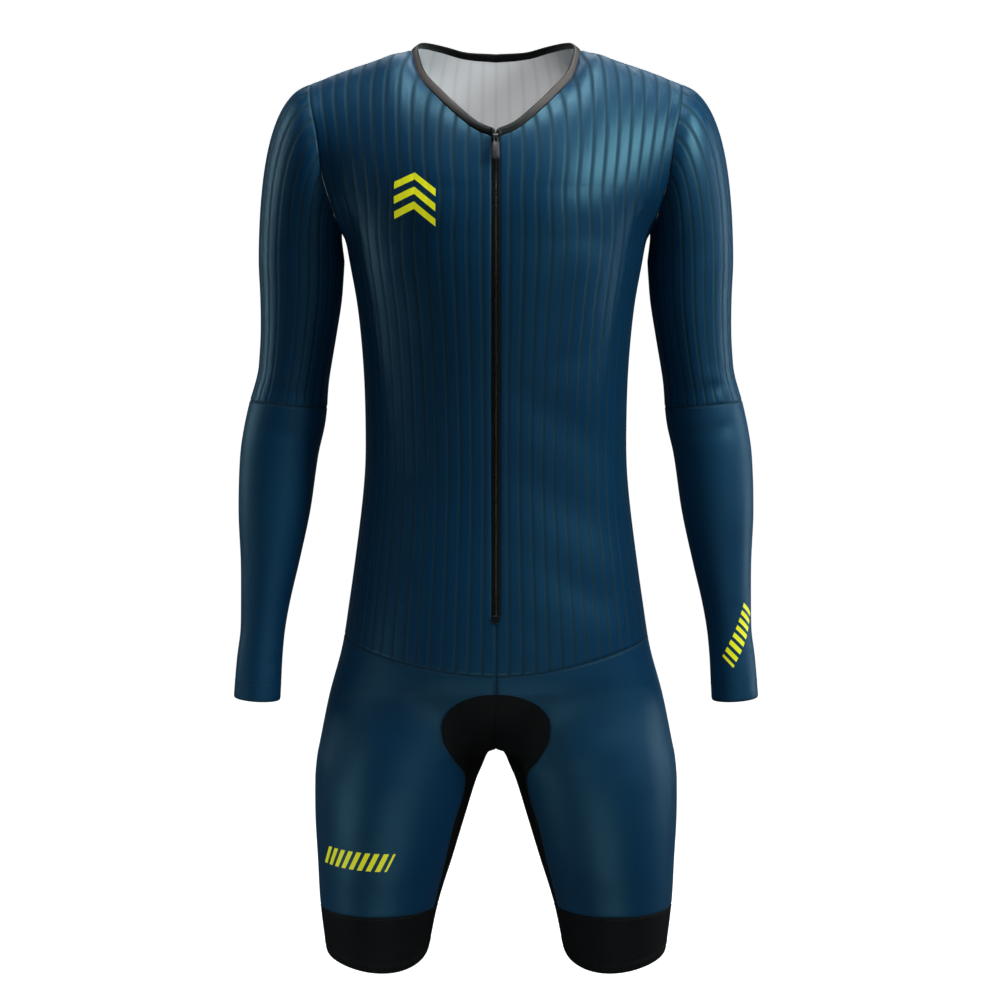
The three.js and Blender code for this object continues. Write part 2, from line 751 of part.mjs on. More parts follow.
// Zip hardware, measured from the chain's face at the top of the zip
const sliderSize = { width: 7.6, length: 10, above: 4, thickness: 2.4, corner: 2.2 };
const earSize = { gapHalf: 2.4, thickness: 1.0, reach: 3.6, length: 3.2, past: 0.8 };
const pinRadius = 0.6;
const pinSides = 10;
const eyeSides = 12;
const pinOut = 2.2; // from the slider's face to the pin
const tabEye = { bore: 0.95, radius: 1.7, halfWidth: 2.1 };
const tabSize = { halfWidth: 3.4, length: 24, thickness: 1.3, neck: 6.5, corner: 2.4 };
const stopSize = { width: 7.6, length: 7, thickness: 1.3, rise: 0.5 };
const hardwareGap = 0.3;
const faceOut = zipRaise - skinSink;

function boxAt(width, depth, height, x, y, z) {
  return new THREE.BoxGeometry(width, depth, height).translate(x, y, z);
}

function rodAlongX(radius, length, sides) {
  return new THREE.CylinderGeometry(radius, radius, length, sides).rotateZ(Math.PI / 2);
}

function roundedPlate(halfWidth, top, bottom, corner, thickness) {
  const shape = new THREE.Shape();
  shape.moveTo(-halfWidth, top);
  shape.lineTo(-halfWidth, bottom + corner);
  shape.absarc(-halfWidth + corner, bottom + corner, corner, Math.PI, 1.5 * Math.PI, false);
  shape.absarc(halfWidth - corner, bottom + corner, corner, 1.5 * Math.PI, 2 * Math.PI, false);
  shape.lineTo(halfWidth, top);
  shape.closePath();
  const plate = new THREE.ExtrudeGeometry(shape, { depth: thickness, bevelEnabled: false, curveSegments: 4 });
  return plate.translate(0, 0, -thickness / 2).rotateX(Math.PI / 2);
}

// The slider and its tab are made upright about the hinge pin, then leaned back with the chain
function sliderGeometry() {
  const { width, length, above, thickness, corner } = sliderSize;
  const body = roundedPlate(width / 2, above, above - length, corner, thickness);
  let solid = toSolid(body.translate(0, pinOut + thickness / 2, 0));
  const earX = earSize.gapHalf + earSize.thickness / 2;
  const earY = earSize.reach / 2 - earSize.past;
  for (const side of [-1, 1]) {
    solid = solid.add(toSolid(boxAt(earSize.thickness, earSize.reach, earSize.length, side * earX, earY, 0)));
  }
  return fromSolid(solid.add(toSolid(rodAlongX(pinRadius, 2 * earX, pinSides))));
}

function tabGeometry() {
  const { halfWidth, length, thickness, neck, corner } = tabSize;
  const eyeWidth = 2 * tabEye.halfWidth;
  let solid = toSolid(roundedPlate(halfWidth, -neck, -length, corner, thickness));
  solid = solid.add(toSolid(boxAt(eyeWidth, thickness, neck + tabEye.bore, 0, 0, -(neck + tabEye.bore) / 2)));
  solid = solid.add(toSolid(rodAlongX(tabEye.radius, eyeWidth, eyeSides)));
  return fromSolid(solid.subtract(toSolid(rodAlongX(tabEye.bore, 2 * eyeWidth, eyeSides))));
}

// The stop is clamped over the chain's lower end
function stopGeometry() {
  const { width, length, thickness, rise } = stopSize;
  const foot = torsoPoint(0, zipEnd);
  const y = foot.y - faceOut - hardwareGap - thickness / 2;
  return boxAt(width, thickness, length, 0, y, (zipEnd + zipSlotFoot) / 2 + rise);
}

const paints = {
  cloth: new THREE.MeshStandardMaterial({ color: 0x123a55, roughness: 0.55, metalness: 0 }),
  black: new THREE.MeshStandardMaterial({ color: 0x0d0d0e, roughness: 0.6, metalness: 0 }),
  zip: new THREE.MeshStandardMaterial({ color: 0x121112, roughness: 0.45, metalness: 0 }),
  hardware: new THREE.MeshStandardMaterial({ color: 0x1a1a1c, roughness: 0.35, metalness: 0.4 }),
};

const suit = new THREE.Group();

function addMesh(name, geometry, paint) {
  const mesh = new THREE.Mesh(geometry, paint);
  mesh.name = name;
  suit.add(mesh);
  return mesh;
}

const both = (grids) => [...grids, ...grids.map(mirrored)];

function addPair(name, grids, facing, paint, thickness, inset = seamInset) {
  addMesh(`${name}_left`, clothWall(grids, facing, thickness, inset), paint);
  addMesh(`${name}_right`, clothWall(grids.map(mirrored), facing, thickness, inset), paint);
}

const front = torsoGrids("front");
const back = torsoGrids("back");
const binding = [bindingGrid()];
const torsoFacing = facingOf(both([...front, ...back, ...binding]));
addPair("front", front, torsoFacing, paints.cloth, wallThickness);
addMesh("back", clothWall(both(back), torsoFacing, wallThickness, seamInset), paints.cloth);
addMesh("neck_binding", clothWall(both(binding), torsoFacing, bandThickness, bindingInset), paints.black);

const upperSleeve = [upperSleeveGrid()];
const lowerSleeve = [lowerSleeveGrid()];
addPair("upper_sleeve", upperSleeve, facingOf(both(upperSleeve)), paints.cloth, wallThickness, sleeveInset);
addPair("lower_sleeve", lowerSleeve, facingOf(both(lowerSleeve)), paints.cloth, wallThickness);

const leg = [legGrid()];
const gusset = gussetGrids();
const band = [legBandGrid()];
const shortsFacing = facingOf([...leg, ...gusset, ...leg.map(mirrored), ...gusset.map(mirrored)]);
addPair("leg", leg, shortsFacing, paints.cloth, wallThickness);
addPair("gusset", gusset, shortsFacing, paints.black, wallThickness);
addPair("leg_band", band, facingOf(both(band)), paints.black, bandThickness);

const chain = [zipGrid()];
addMesh("zip_chain", clothWall(chain, facingOf(chain), zipThickness, 0), paints.zip);
addMesh("zip_bottom_stop", stopGeometry(), paints.hardware);

// The hardware stands square on the top stretch of the chain
const chainTop = chain[0][chain[0].length - 1][1].point;
const chainNext = chain[0][chain[0].length - 2][1].point;
const chainUp = chainTop.clone().sub(chainNext).normalize();
const chainOut = new THREE.Vector3(0, -chainUp.z, chainUp.y);
const hardware = new THREE.Group();
hardware.position.copy(chainTop).addScaledVector(chainUp, -sliderSize.above);
hardware.position.addScaledVector(chainOut, faceOut + hardwareGap + sliderSize.thickness + pinOut);
hardware.rotation.x = -Math.atan2(chainUp.y, chainUp.z);
for (const [name, geometry] of [["zip_slider", sliderGeometry()], ["zip_pull", tabGeometry()]]) {
  const mesh = new THREE.Mesh(geometry, paints.hardware);
  mesh.name = name;
  hardware.add(mesh);
}
suit.add(hardware);

export default suit;
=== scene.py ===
import json
import math

import bmesh
import bpy
import numpy as np
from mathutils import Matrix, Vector, kdtree


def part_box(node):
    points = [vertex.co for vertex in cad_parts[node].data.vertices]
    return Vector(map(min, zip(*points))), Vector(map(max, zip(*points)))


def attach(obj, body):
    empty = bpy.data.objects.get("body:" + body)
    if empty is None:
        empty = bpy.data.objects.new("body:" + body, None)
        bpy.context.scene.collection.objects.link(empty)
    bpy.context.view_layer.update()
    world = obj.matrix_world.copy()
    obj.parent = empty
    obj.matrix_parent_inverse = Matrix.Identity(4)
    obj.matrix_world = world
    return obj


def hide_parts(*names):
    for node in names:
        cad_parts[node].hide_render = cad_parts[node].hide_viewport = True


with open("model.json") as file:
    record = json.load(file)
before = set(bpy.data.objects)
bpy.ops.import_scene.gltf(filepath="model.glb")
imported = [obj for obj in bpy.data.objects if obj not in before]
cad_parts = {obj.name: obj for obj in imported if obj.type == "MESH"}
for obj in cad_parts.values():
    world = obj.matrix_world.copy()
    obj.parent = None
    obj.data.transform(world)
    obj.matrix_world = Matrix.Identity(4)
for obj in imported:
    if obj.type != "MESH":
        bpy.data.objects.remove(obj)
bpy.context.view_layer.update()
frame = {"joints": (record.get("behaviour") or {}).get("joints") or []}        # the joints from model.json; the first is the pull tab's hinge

mm = 0.001               # the suit is worked out in millimetres and scaled when a mesh is made

# Camera

cameraView = {"lens": 90.39, "sensor": 36, "at": (0.004, -2.5, -0.22), "down": 5.32}


def addObject(name, data):
    made = bpy.data.objects.new(name, data)
    bpy.context.collection.objects.link(made)
    return made


def placeCamera():
    data = bpy.data.cameras.new("camera")
    data.lens = cameraView["lens"]
    data.sensor_width = cameraView["sensor"]
    camera = addObject("camera", data)
    camera.location = cameraView["at"]
    camera.rotation_euler = (math.radians(90 - cameraView["down"]), 0, 0)
    bpy.context.scene.camera = camera


placeCamera()
print("camera placed")

# The suit's form: tables of sizes from the neck down, front towards -Y, wearer's left towards +X


def table(columns, *rows):
    return {name: np.array(values, float) for name, values in zip(columns.split(), zip(*rows))}


cloth = {"thickness": 1.2, "bandThickness": 1.8, "seamInset": -0.15, "seamDip": 0.4, "seamWidth": 0.9,
         "seamShade": 1.3, "ribTaper": 1.4, "edgeRound": 0.3}
ribs = {"perQuarter": 16, "toArmhole": 14, "toNeckPoint": 7, "perSleeve": 24, "height": 0.42, "groove": 0.21,
        "crown": 0.12, "sunk": 0.25, "leanOut": 0.13, "leanIn": 0.3, "leanOver": 4}
levels = {"underarm": -200, "chest": -141, "waistSide": -587, "waistFrontDip": 28, "waistBackDip": 12,
          "crotchTop": -615, "crotch": -701, "gussetTop": -633, "band": -862, "hem": -908,
          "hemDip": 12, "hemLean": 0.4, "elbowOuter": -353, "elbowInner": -360, "cuffOuter": -646.5,
          "cuffInner": -650}
crotchPower = 2.6
zipSizes = {"slotHalf": 3.8, "end": -557.5, "foot": -561.5, "slotRibs": 1}
armhole = {"middle": -113.3, "rise": 71.7, "reach": 56, "y": 2}
yoke = {"round": 1, "seamY": -2, "front": 0.65, "back": 0.9, "fullness": 0.85, "seamPull": 5}
chest = {"front": -112, "back": 113, "fullness": 2.4, "leanFront": 0.22, "leanBack": -0.18, "flare": 0.4}
cap = {"ring": -217, "outLow": 0.15, "outHigh": 0.96, "forward": 0.28, "startLow": 26, "startHigh": 124,
       "endLow": 28, "endHigh": 275, "swing": 4}
innerSlope = {"from": -734, "inner": 19.5, "slope": -0.305}
gussetArch = {"halfWidth": 53, "widest": -669, "mostTurn": 0.3}

torsoPower = 2.3
torsoSections = table(
    "z halfWidth front back",
    (-187, 149.5, 116, 112), (-215, 144.7, 116, 111), (-250, 138.3, 113, 107), (-290, 133.6, 108, 100),
    (-340, 130.4, 102, 94), (-405, 129.7, 97, 90), (-440, 131.8, 96, 90), (-485, 137, 97, 94),
    (-553, 146.5, 100, 104), (-600, 154.5, 101, 112), (-648, 167.5, 98, 118), (-701, 178.5, 94, 120))
legSections = table(
    "z inner outer front back",
    (-701, 0, 178.5, 88, 104), (-704, 5, 179.2, 88, 104), (-708, 8.5, 180, 88, 103),
    (-720, 13.5, 181.5, 88, 102), (-734, 19.5, 182.5, 87.5, 99), (-773, 31.5, 182.5, 84, 91),
    (-813, 43.5, 180.5, 77, 80), (-862, 58.5, 178, 66, 68), (-921, 70.5, 171, 58, 59))
gussetEdge = table(
    "z edge",
    (-669, 53), (-684, 51), (-704, 40.5), (-719, 31), (-740, 31.5), (-773, 41.5), (-813, 50.5), (-862, 62))
armholeReach = table(
    "z x",
    (-41, 182.5), (-50, 182), (-70, 178.5), (-93, 173.5), (-118, 170), (-141, 166.5), (-185, 152.5))
armSections = table(
    "z centre halfWidth halfDepth y",
    (-217, 192.7, 42.4, 47, 2), (-253, 193.5, 40.3, 45, 3), (-289, 196.5, 37.5, 43, 4),
    (-316, 200, 36.3, 42, 5), (-338, 204, 36.8, 41.5, 5), (-355, 207, 38.9, 41, 5),
    (-378, 211, 40.2, 41, 4), (-408, 216.5, 39, 40, 2), (-463, 221.3, 35.8, 37, -3),
    (-513, 225.5, 29.3, 31, -9), (-553, 230, 24.5, 27, -14), (-582, 232.8, 22.2, 25, -17),
    (-608, 235.6, 22.7, 25, -20), (-652, 238.6, 23.4, 25, -24))
necklines = {
    "front": table(
        "rib x y z",
        (0, 3.8, -98, -95.5), (1.75, 22, -92, -87), (3.5, 43, -79, -69), (4.9, 60, -60, -52),
        (6.1, 75, -34, -34), (7, 82.5, -2, -9)),
    "back": table(
        "rib x y z",
        (0, 0, 66, -13), (2.6, 32, 63, -10.5), (4.4, 54, 54, -5), (5.8, 71, 38, -2.5),
        (6.5, 79, 20, -4), (7, 82.5, -2, -9)),
}


def mix(a, b, t):
    return a + (b - a) * t


def smooth(t):
    t = np.clip(t, 0, 1)
    return t * t * (3 - 2 * t)


def unit(v):
    return v / np.maximum(np.linalg.norm(v, axis=-1, keepdims=True), 1e-9)


def hermite(start, end, startSlope, endSlope, t):
    t2, t3 = t * t, t * t * t
    return ((2 * t3 - 3 * t2 + 1) * start + (3 * t2 - 2 * t3) * end
            + (t3 - 2 * t2 + t) * startSlope + (t3 - t2) * endSlope)


def readTable(rows, key, value, column):
    places, values = rows[key], rows[column]
    if places[-1] < places[0]:
        places, value = -places, -np.asarray(value, float)
    value = np.clip(value, places[0], places[-1])
    low = np.clip(np.searchsorted(places, value, side="right") - 1, 0, len(places) - 2)
    row = np.arange(len(places))
    before, after = np.maximum(row - 1, 0), np.minimum(row + 1, len(places) - 1)
    slopes = (values[after] - values[before]) / (places[after] - places[before])
    span = places[low + 1] - places[low]
    t = (value - places[low]) / span
    return hermite(values[low], values[low + 1], slopes[low] * span, slopes[low + 1] * span, t)


# A squared-off quarter oval, walked at an even pace: the angle for each proportion and part of the way
ovalRatios = np.linspace(0.4, 1.2, 41)
ovalParts = np.linspace(0, 1, 161)
ovalSteps = 961


def ovalAngles():
    angle = np.linspace(0, math.pi / 2, ovalSteps)
    across = np.sin(angle) ** (2 / torsoPower)
    out = np.maximum(np.cos(angle), 0) ** (2 / torsoPower)
    rows = []
    for ratio in ovalRatios:
        steps = np.hypot(np.diff(across), ratio * np.diff(out))
        length = np.concatenate([[0], np.cumsum(steps)])
        rows.append(np.interp(ovalParts, length / length[-1], angle))
    return np.array(rows)


ovalLookup = ovalAngles()


def quarterOval(halfWidth, depth, part):
    row = (depth / halfWidth - ovalRatios[0]) / (ovalRatios[1] - ovalRatios[0])
    row = np.clip(row, 0, len(ovalRatios) - 1.001)
    column = np.clip(part * (len(ovalParts) - 1), 0, len(ovalParts) - 1.001)
    i, j = row.astype(int), column.astype(int)
    low = mix(ovalLookup[i, j], ovalLookup[i, j + 1], column - j)
    high = mix(ovalLookup[i + 1, j], ovalLookup[i + 1, j + 1], column - j)
    angle = mix(low, high, row - i)
    across = halfWidth * np.sin(angle) ** (2 / torsoPower)
    return across, depth * np.maximum(np.cos(angle), 0) ** (2 / torsoPower)


# Turn runs from 0 at centre front through 0.5 at the side to 1 at centre back
def torsoPoint(turn, z):
    turn, z = np.broadcast_arrays(np.asarray(turn, float), np.asarray(z, float))
    halfWidth = readTable(torsoSections, "z", z, "halfWidth")
    isFront = turn <= 0.5
    frontDepth = readTable(torsoSections, "z", z, "front")
    depth = np.where(isFront, frontDepth, readTable(torsoSections, "z", z, "back"))
    across, out = quarterOval(halfWidth, depth, np.where(isFront, turn, 1 - turn) * 2)
    return np.stack([across, np.where(isFront, -out, out), z], -1)


def waistHeight(turn):
    dip = np.where(turn < 0.5, levels["waistFrontDip"], levels["waistBackDip"])
    return levels["waistSide"] - dip * np.cos(math.pi * turn) ** 2


def shortsPoint(turn, z):
    turn, z = np.broadcast_arrays(np.asarray(turn, float), np.asarray(z, float))
    level = np.minimum(z, levels["crotch"])
    outside = smooth(np.minimum(turn, 1 - turn) * 4)
    arch = readTable(legSections, "z", level, "inner")
    straight = innerSlope["inner"] + innerSlope["slope"] * (z - innerSlope["from"])
    inner = mix(arch, np.where(z > innerSlope["from"], straight, arch), outside)
    hipWidth = readTable(torsoSections, "z", z, "halfWidth")
    outer = np.where(z > levels["crotch"], hipWidth, readTable(legSections, "z", z, "outer"))
    frontDepth = readTable(legSections, "z", level, "front")
    depth = np.where(turn < 0.5, frontDepth, readTable(legSections, "z", level, "back"))
    angle = 2 * math.pi * turn
    halfWidth = (outer - inner) / 2
    leg = np.stack([inner + halfWidth * (1 - np.cos(angle)), -depth * np.sin(angle), z], -1)
    fall = np.clip((levels["crotchTop"] - z) / (levels["crotchTop"] - levels["crotch"]), 0, 1)
    curve = 1 - (1 - fall ** crotchPower) ** (1 / crotchPower)
    closing = mix(curve, smooth(fall), outside)[..., None]
    return np.where((z <= levels["crotch"])[..., None], leg, mix(torsoPoint(turn, z), leg, closing))


def gussetTurn(z):
    above = np.clip((z - gussetArch["widest"]) / (levels["gussetTop"] - gussetArch["widest"]), 0, 1)
    arch = gussetArch["halfWidth"] * np.sqrt(1 - above * above)
    edge = np.where(z > gussetArch["widest"], arch, readTable(gussetEdge, "z", z, "edge"))
    low, high = np.zeros_like(z), np.full_like(z, gussetArch["mostTurn"])
    for _ in range(40):
        turn = (low + high) / 2
        inside = shortsPoint(turn, z)[..., 0] < edge
        low, high = np.where(inside, turn, low), np.where(inside, high, turn)
    return np.where(z >= levels["gussetTop"], 0, (low + high) / 2)


def armholePoint(angle):
    angle = np.asarray(angle, float)
    z = armhole["middle"] - armhole["rise"] * np.cos(angle)
    y = armhole["y"] - armhole["reach"] * np.sin(angle)
    return np.stack([readTable(armholeReach, "z", z, "x"), y, z], -1)


armholeCorner = math.acos((armhole["middle"] - levels["chest"]) / armhole["rise"])
chestSamples = 201


def chestPoint(side, column):
    corner = armholeCorner if side == "front" else -armholeCorner
    past = np.clip((column - ribs["toArmhole"]) / (ribs["perQuarter"] - ribs["toArmhole"]), 0, 1)
    end, fine = armholePoint(corner), np.linspace(0, 1, chestSamples)
    x, y = end[0] * fine, mix(chest[side], end[1], fine ** chest["fullness"])
    length = np.concatenate([[0], np.cumsum(np.hypot(np.diff(x), np.diff(y)))])
    along = np.clip(column / ribs["toArmhole"], 0, 1) * length[-1]
    line = np.stack([np.interp(along, length, x), np.interp(along, length, y),
                     np.full_like(along, levels["chest"])], -1)
    return np.where((column >= ribs["toArmhole"])[:, None], armholePoint(corner * (1 - past)), line)


def topPoint(side, column):
    line = necklines[side]
    neck = np.stack([readTable(line, "rib", column, name) for name in "xyz"], -1)
    neckPoint = np.array([line[name][-1] for name in "xyz"])
    part = np.clip((column - ribs["toNeckPoint"]) / (ribs["toArmhole"] - ribs["toNeckPoint"]), 0, 1)
    shoulder = mix(neckPoint, armholePoint(math.pi), part[:, None])
    shoulder[:, 2] += yoke["round"] * np.sin(math.pi * part)
    return np.where((column <= ribs["toNeckPoint"])[:, None], neck, shoulder)


def topWay(side, column):
    angle = np.radians(np.abs(topPoint(side, column)[:, 1] - yoke["seamY"]) * yoke[side])
    forward = np.cos(angle) if side == "front" else -np.cos(angle)
    return np.stack([np.zeros_like(angle), forward, np.sin(angle)], -1)


def chestWay(side):
    return unit(np.array([0, chest["leanFront" if side == "front" else "leanBack"], 1.0]))


def chestGrid(side, column, rises):
    turn = column / ribs["perQuarter"] / 2 if side == "front" else 1 - column / ribs["perQuarter"] / 2
    ring, below = torsoPoint(turn, levels["underarm"]), torsoPoint(turn, levels["underarm"] - 1)
    end = chestPoint(side, column)
    height = (end[:, 2] - ring[:, 2])[:, None]
    past = np.clip((column - ribs["toArmhole"]) / (ribs["perQuarter"] - ribs["toArmhole"]), 0, 1)[:, None]
    lean = ribs["leanOut"] * smooth(column / ribs["leanOver"])[:, None] * np.array([[1, 0, 0]])
    endPull = mix(chestWay(side) + lean, np.array([chest["flare"], 0, 1]), past) * height
    return hermite(ring, end, (ring - below) * height, endPull, rises[:, None, None])


def yokeGrid(side, column, rises):
    start, end = chestPoint(side, column), topPoint(side, column)
    pull = yoke["fullness"] * np.linalg.norm(end - start, axis=1)[:, None]
    lean = smooth(column / ribs["leanOver"])[:, None] * np.array([[1, 0, 0]])
    startPull = (chestWay(side) + ribs["leanOut"] * lean) * pull
    endPull = (topWay(side, column) - ribs["leanIn"] * lean) * pull
    plain = hermite(start, end, startPull, endPull, rises[:, None, None])
    angle = mix(armholeCorner, math.pi, rises)
    drift = armholePoint(angle if side == "front" else -angle) - plain[:, -1]
    near = (column / ribs["toArmhole"]) ** yoke["seamPull"]
    return plain + near[None, :, None] * drift[:, None]


def armPoint(angle, z):
    angle, z = np.broadcast_arrays(np.asarray(angle, float), np.asarray(z, float))
    size = {name: readTable(armSections, "z", z, name) for name in ("centre", "halfWidth", "halfDepth", "y")}
    x = size["centre"] - size["halfWidth"] * np.cos(angle)
    return np.stack([x, size["y"] - size["halfDepth"] * np.sin(angle), z], -1)


def armSeam(angle, inner, outer):
    return mix(outer, inner, (1 + np.cos(angle)) / 2)


def capGrid(angle, downs):
    high = (1 - np.cos(angle)) / 2
    outward = mix(cap["outLow"], cap["outHigh"], np.sqrt(high))
    forward = -cap["forward"] * np.sin(angle)
    downward = -np.sqrt(np.maximum(1 - outward ** 2 - forward ** 2, 0))
    start = mix(cap["startLow"], cap["startHigh"], high)[:, None]
    startPull = np.stack([outward, forward, downward], -1) * start
    endReach = -mix(cap["endLow"], cap["endHigh"], high * high)
    endPull = np.stack([cap["swing"] * high, np.zeros_like(high), endReach], -1)
    end = armPoint(angle, cap["ring"])
    return hermite(armholePoint(angle), end, startPull, endPull, downs[:, None, None])


print("form worked out")

# Grids of points: welding, easing, refining

easing = {"torsoRounds": 60, "sleeveRounds": 12, "steps": (0.6, -0.63)}


def weld(flat):
    keys = np.round(flat * 100).astype(np.int64)
    _, first, same = np.unique(keys, axis=0, return_index=True, return_inverse=True)
    return first, same.reshape(-1)


def gridQuads(grids):
    quads, offset = [], 0
    for rows, columns in (grid.shape[:2] for grid in grids):
        index = offset + np.arange(rows * columns).reshape(rows, columns)
        corners = (index[:-1, :-1], index[:-1, 1:], index[1:, 1:], index[1:, :-1])
        quads.append(np.stack([corner.ravel() for corner in corners], -1))
        offset += rows * columns
    return np.concatenate(quads)


def rimOf(quads):
    ends = np.concatenate([quads[:, [i, (i + 1) % 4]] for i in range(4)])
    ends = ends[ends[:, 0] != ends[:, 1]]
    _, place, count = np.unique(np.sort(ends, 1), axis=0, return_index=True, return_counts=True)
    return ends[place[count == 1]]


def ease(grids, rounds):     # evens out the creases of a skin without shrinking it, its rim held
    flat = np.concatenate([grid.reshape(-1, 3) for grid in grids])
    first, same = weld(flat)
    points, quads = flat[first], same[gridQuads(grids)]
    ends = np.concatenate([quads[:, [i, (i + 1) % 4]] for i in range(4)])
    ends = np.unique(np.sort(ends[ends[:, 0] != ends[:, 1]], 1), axis=0)
    ends = np.concatenate([ends, ends[:, ::-1]])
    degree = np.bincount(ends[:, 0], minlength=len(points))[:, None]
    free = np.ones((len(points), 1))
    free[np.unique(rimOf(quads))] = 0
    for _ in range(rounds):
        for amount in easing["steps"]:
            near = points[ends[:, 1]]
            total = np.stack([np.bincount(ends[:, 0], near[:, k], len(points)) for k in range(3)], -1)
            points = points + free * amount * (total / degree - points)
    flat, eased, offset = points[same], [], 0
    for grid in grids:
        count = grid.shape[0] * grid.shape[1]
        eased.append(flat[offset:offset + count].reshape(grid.shape))
        offset += count
    return eased


def cubicAlong(grid, places):     # smooth reading of a grid's rows at places between them
    grid = np.concatenate([2 * grid[:1] - grid[1:2], grid, 2 * grid[-1:] - grid[-2:-1]])
    low = np.clip(places.astype(int), 0, len(grid) - 4)
    t = (places - low)[:, None, None]
    before, start, end, after = (grid[low + k] for k in range(4))
    return hermite(start, end, (end - before) / 2, (after - start) / 2, t)


def refine(grid, rowPlaces, columnPlaces):
    rows = cubicAlong(grid, rowPlaces)
    return cubicAlong(rows.transpose(1, 0, 2), columnPlaces).transpose(1, 0, 2)


def ribPlaces(fromRib, toRib):     # columns crowd in at each groove
    g = ribs["groove"]
    parts = np.array([0, g / 2, g, 0.28, 0.5, 0.72, 1 - g, 1 - g / 2])
    return np.append(np.concatenate([rib + parts for rib in range(fromRib, toRib)]), toRib)


def ribHeight(column):     # 0 in the grooves, gently rounded between them
    away = np.abs(column - np.round(column))
    crown = ribs["crown"]
    return smooth(away / ribs["groove"]) * (1 - crown + crown * np.sin(math.pi * (column % 1)))


edgePlaces = np.array([0.07, 0.18, 0.4])     # extra rows by a seam, in parts of a row


def rowPlaces(start, end, perRow=2, nearStart=True):
    places = list(np.linspace(start, end, (end - start) * perRow + 1)) + list(end - edgePlaces)
    if nearStart:
        places += list(start + edgePlaces)
    return np.array(sorted(places))


def measured(points):     # a grid with its ways across and up, for the knit to follow
    across = np.linalg.norm(np.diff(points, axis=1), axis=2)
    up = np.linalg.norm(np.diff(points, axis=0), axis=2)
    u = np.concatenate([np.zeros((len(points), 1)), np.cumsum(across, 1)], 1)
    v = np.concatenate([np.zeros((1, points.shape[1])), np.cumsum(up, 0)], 0)
    return {"point": points, "u": u, "v": v, "rib": np.zeros(points.shape[:2])}


def mirrored(grid):
    flipped = {name: value[:, ::-1].copy() for name, value in grid.items()}
    flipped["point"] = flipped["point"] * np.array([-1, 1, 1])
    return flipped


def both(grids):
    return grids + [mirrored(grid) for grid in grids]


# Soft creases, each a trough (or a ridge, where its depth is below 0) between two points seen from
# the front or from the back, with its width

creases = {
    "front": table(
        "x0 z0 x1 z1 width depth",
        (62, -145, 62, -195, 36, -4.0), (-62, -145, -62, -195, 36, -4.0), (20, -340, 96, -392, 20, 2.0),
        (26, -424, 108, -478, 22, 1.9), (48, -318, 98, -300, 14, 1.0), (30, -500, 100, -540, 20, 1.2),
        (-34, -398, -82, -424, 14, 0.9), (-24, -470, -88, -512, 18, 0.9), (60, -520, 118, -556, 15, 1.0),
        (16, -560, 62, -590, 13, 0.7), (112, -208, 74, -176, 14, 1.0), (-112, -208, -70, -180, 14, 0.9),
        (34, -250, 64, -224, 17, -0.8), (-40, -262, -68, -232, 17, -0.7), (104, -262, 70, -300, 14, 0.8),
        (-104, -258, -76, -296, 13, 0.7), (66, -690, 118, -662, 14, 0.6), (-66, -690, -118, -664, 14, 0.6),
        (60, -716, 132, -704, 15, 0.5), (-58, -716, -128, -706, 15, 0.5), (74, -776, 136, -790, 20, 0.4),
        (-76, -774, -138, -792, 20, 0.4), (84, -836, 150, -846, 14, 0.35), (-86, -838, -150, -846, 14, 0.35)),
    "back": table(
        "x0 z0 x1 z1 width depth",
        (12, -420, 86, -452, 16, 1.3), (-18, -404, -88, -430, 15, 1.2), (8, -470, 74, -506, 17, 1.1),
        (-12, -462, -80, -490, 16, 1.2), (-4, -378, 58, -366, 14, 0.9), (112, -214, 70, -184, 15, 1.1),
        (-112, -214, -70, -186, 15, 1.0), (52, -290, 96, -318, 15, 0.8), (-54, -286, -98, -312, 15, 0.8),
        (36, -728, 120, -716, 13, 1.3), (-36, -728, -118, -718, 13, 1.2), (44, -752, 110, -764, 12, 1.0),
        (-46, -750, -112, -762, 12, 1.0), (72, -822, 140, -836, 14, 0.8), (-74, -824, -138, -834, 14, 0.8)),
    "frontSleeve": table(
        "x0 z0 x1 z1 width depth",
        (236, -330, 196, -346, 8, 1.1), (240, -322, 214, -318, 7, 0.7), (178, -344, 214, -338, 7, 0.9),
        (242, -372, 200, -384, 8, 0.8), (188, -392, 226, -380, 8, 0.6), (166, -232, 196, -206, 11, 1.0),
        (160, -214, 186, -180, 9, 0.9), (246, -604, 216, -614, 6, 0.5), (222, -560, 246, -552, 7, 0.4)),
    "backSleeve": table(
        "x0 z0 x1 z1 width depth",
        (238, -336, 186, -352, 9, 1.2), (242, -318, 196, -312, 9, 0.9), (236, -374, 190, -366, 8, 1.0),
        (168, -236, 202, -210, 12, 1.0), (160, -206, 184, -172, 10, 0.9), (244, -596, 218, -604, 7, 0.5)),
}


def creaseDepth(points, ways, isSleeve):
    depth = np.zeros(points.shape[:-1])
    for side in ("front", "back"):
        lines = creases[side + ("Sleeve" if isSleeve else "")]
        facing = smooth(0.5 + (-ways[..., 1] if side == "front" else ways[..., 1]) * 1.6)
        x = np.abs(points[..., 0]) if isSleeve else points[..., 0]
        here = np.stack([x, points[..., 2]], -1)
        for x0, z0, x1, z1, width, deep in zip(*lines.values()):
            start, along = np.array([x0, z0]), np.array([x1 - x0, z1 - z0])
            part = np.clip(((here - start) @ along) / (along @ along), 0, 1)
            away = np.linalg.norm(here - start - part[..., None] * along, axis=-1)
            depth += deep * facing * np.exp(-(away / width) ** 2) * (0.55 + 0.45 * np.sin(math.pi * part))
    return depth


# Meshes from panels


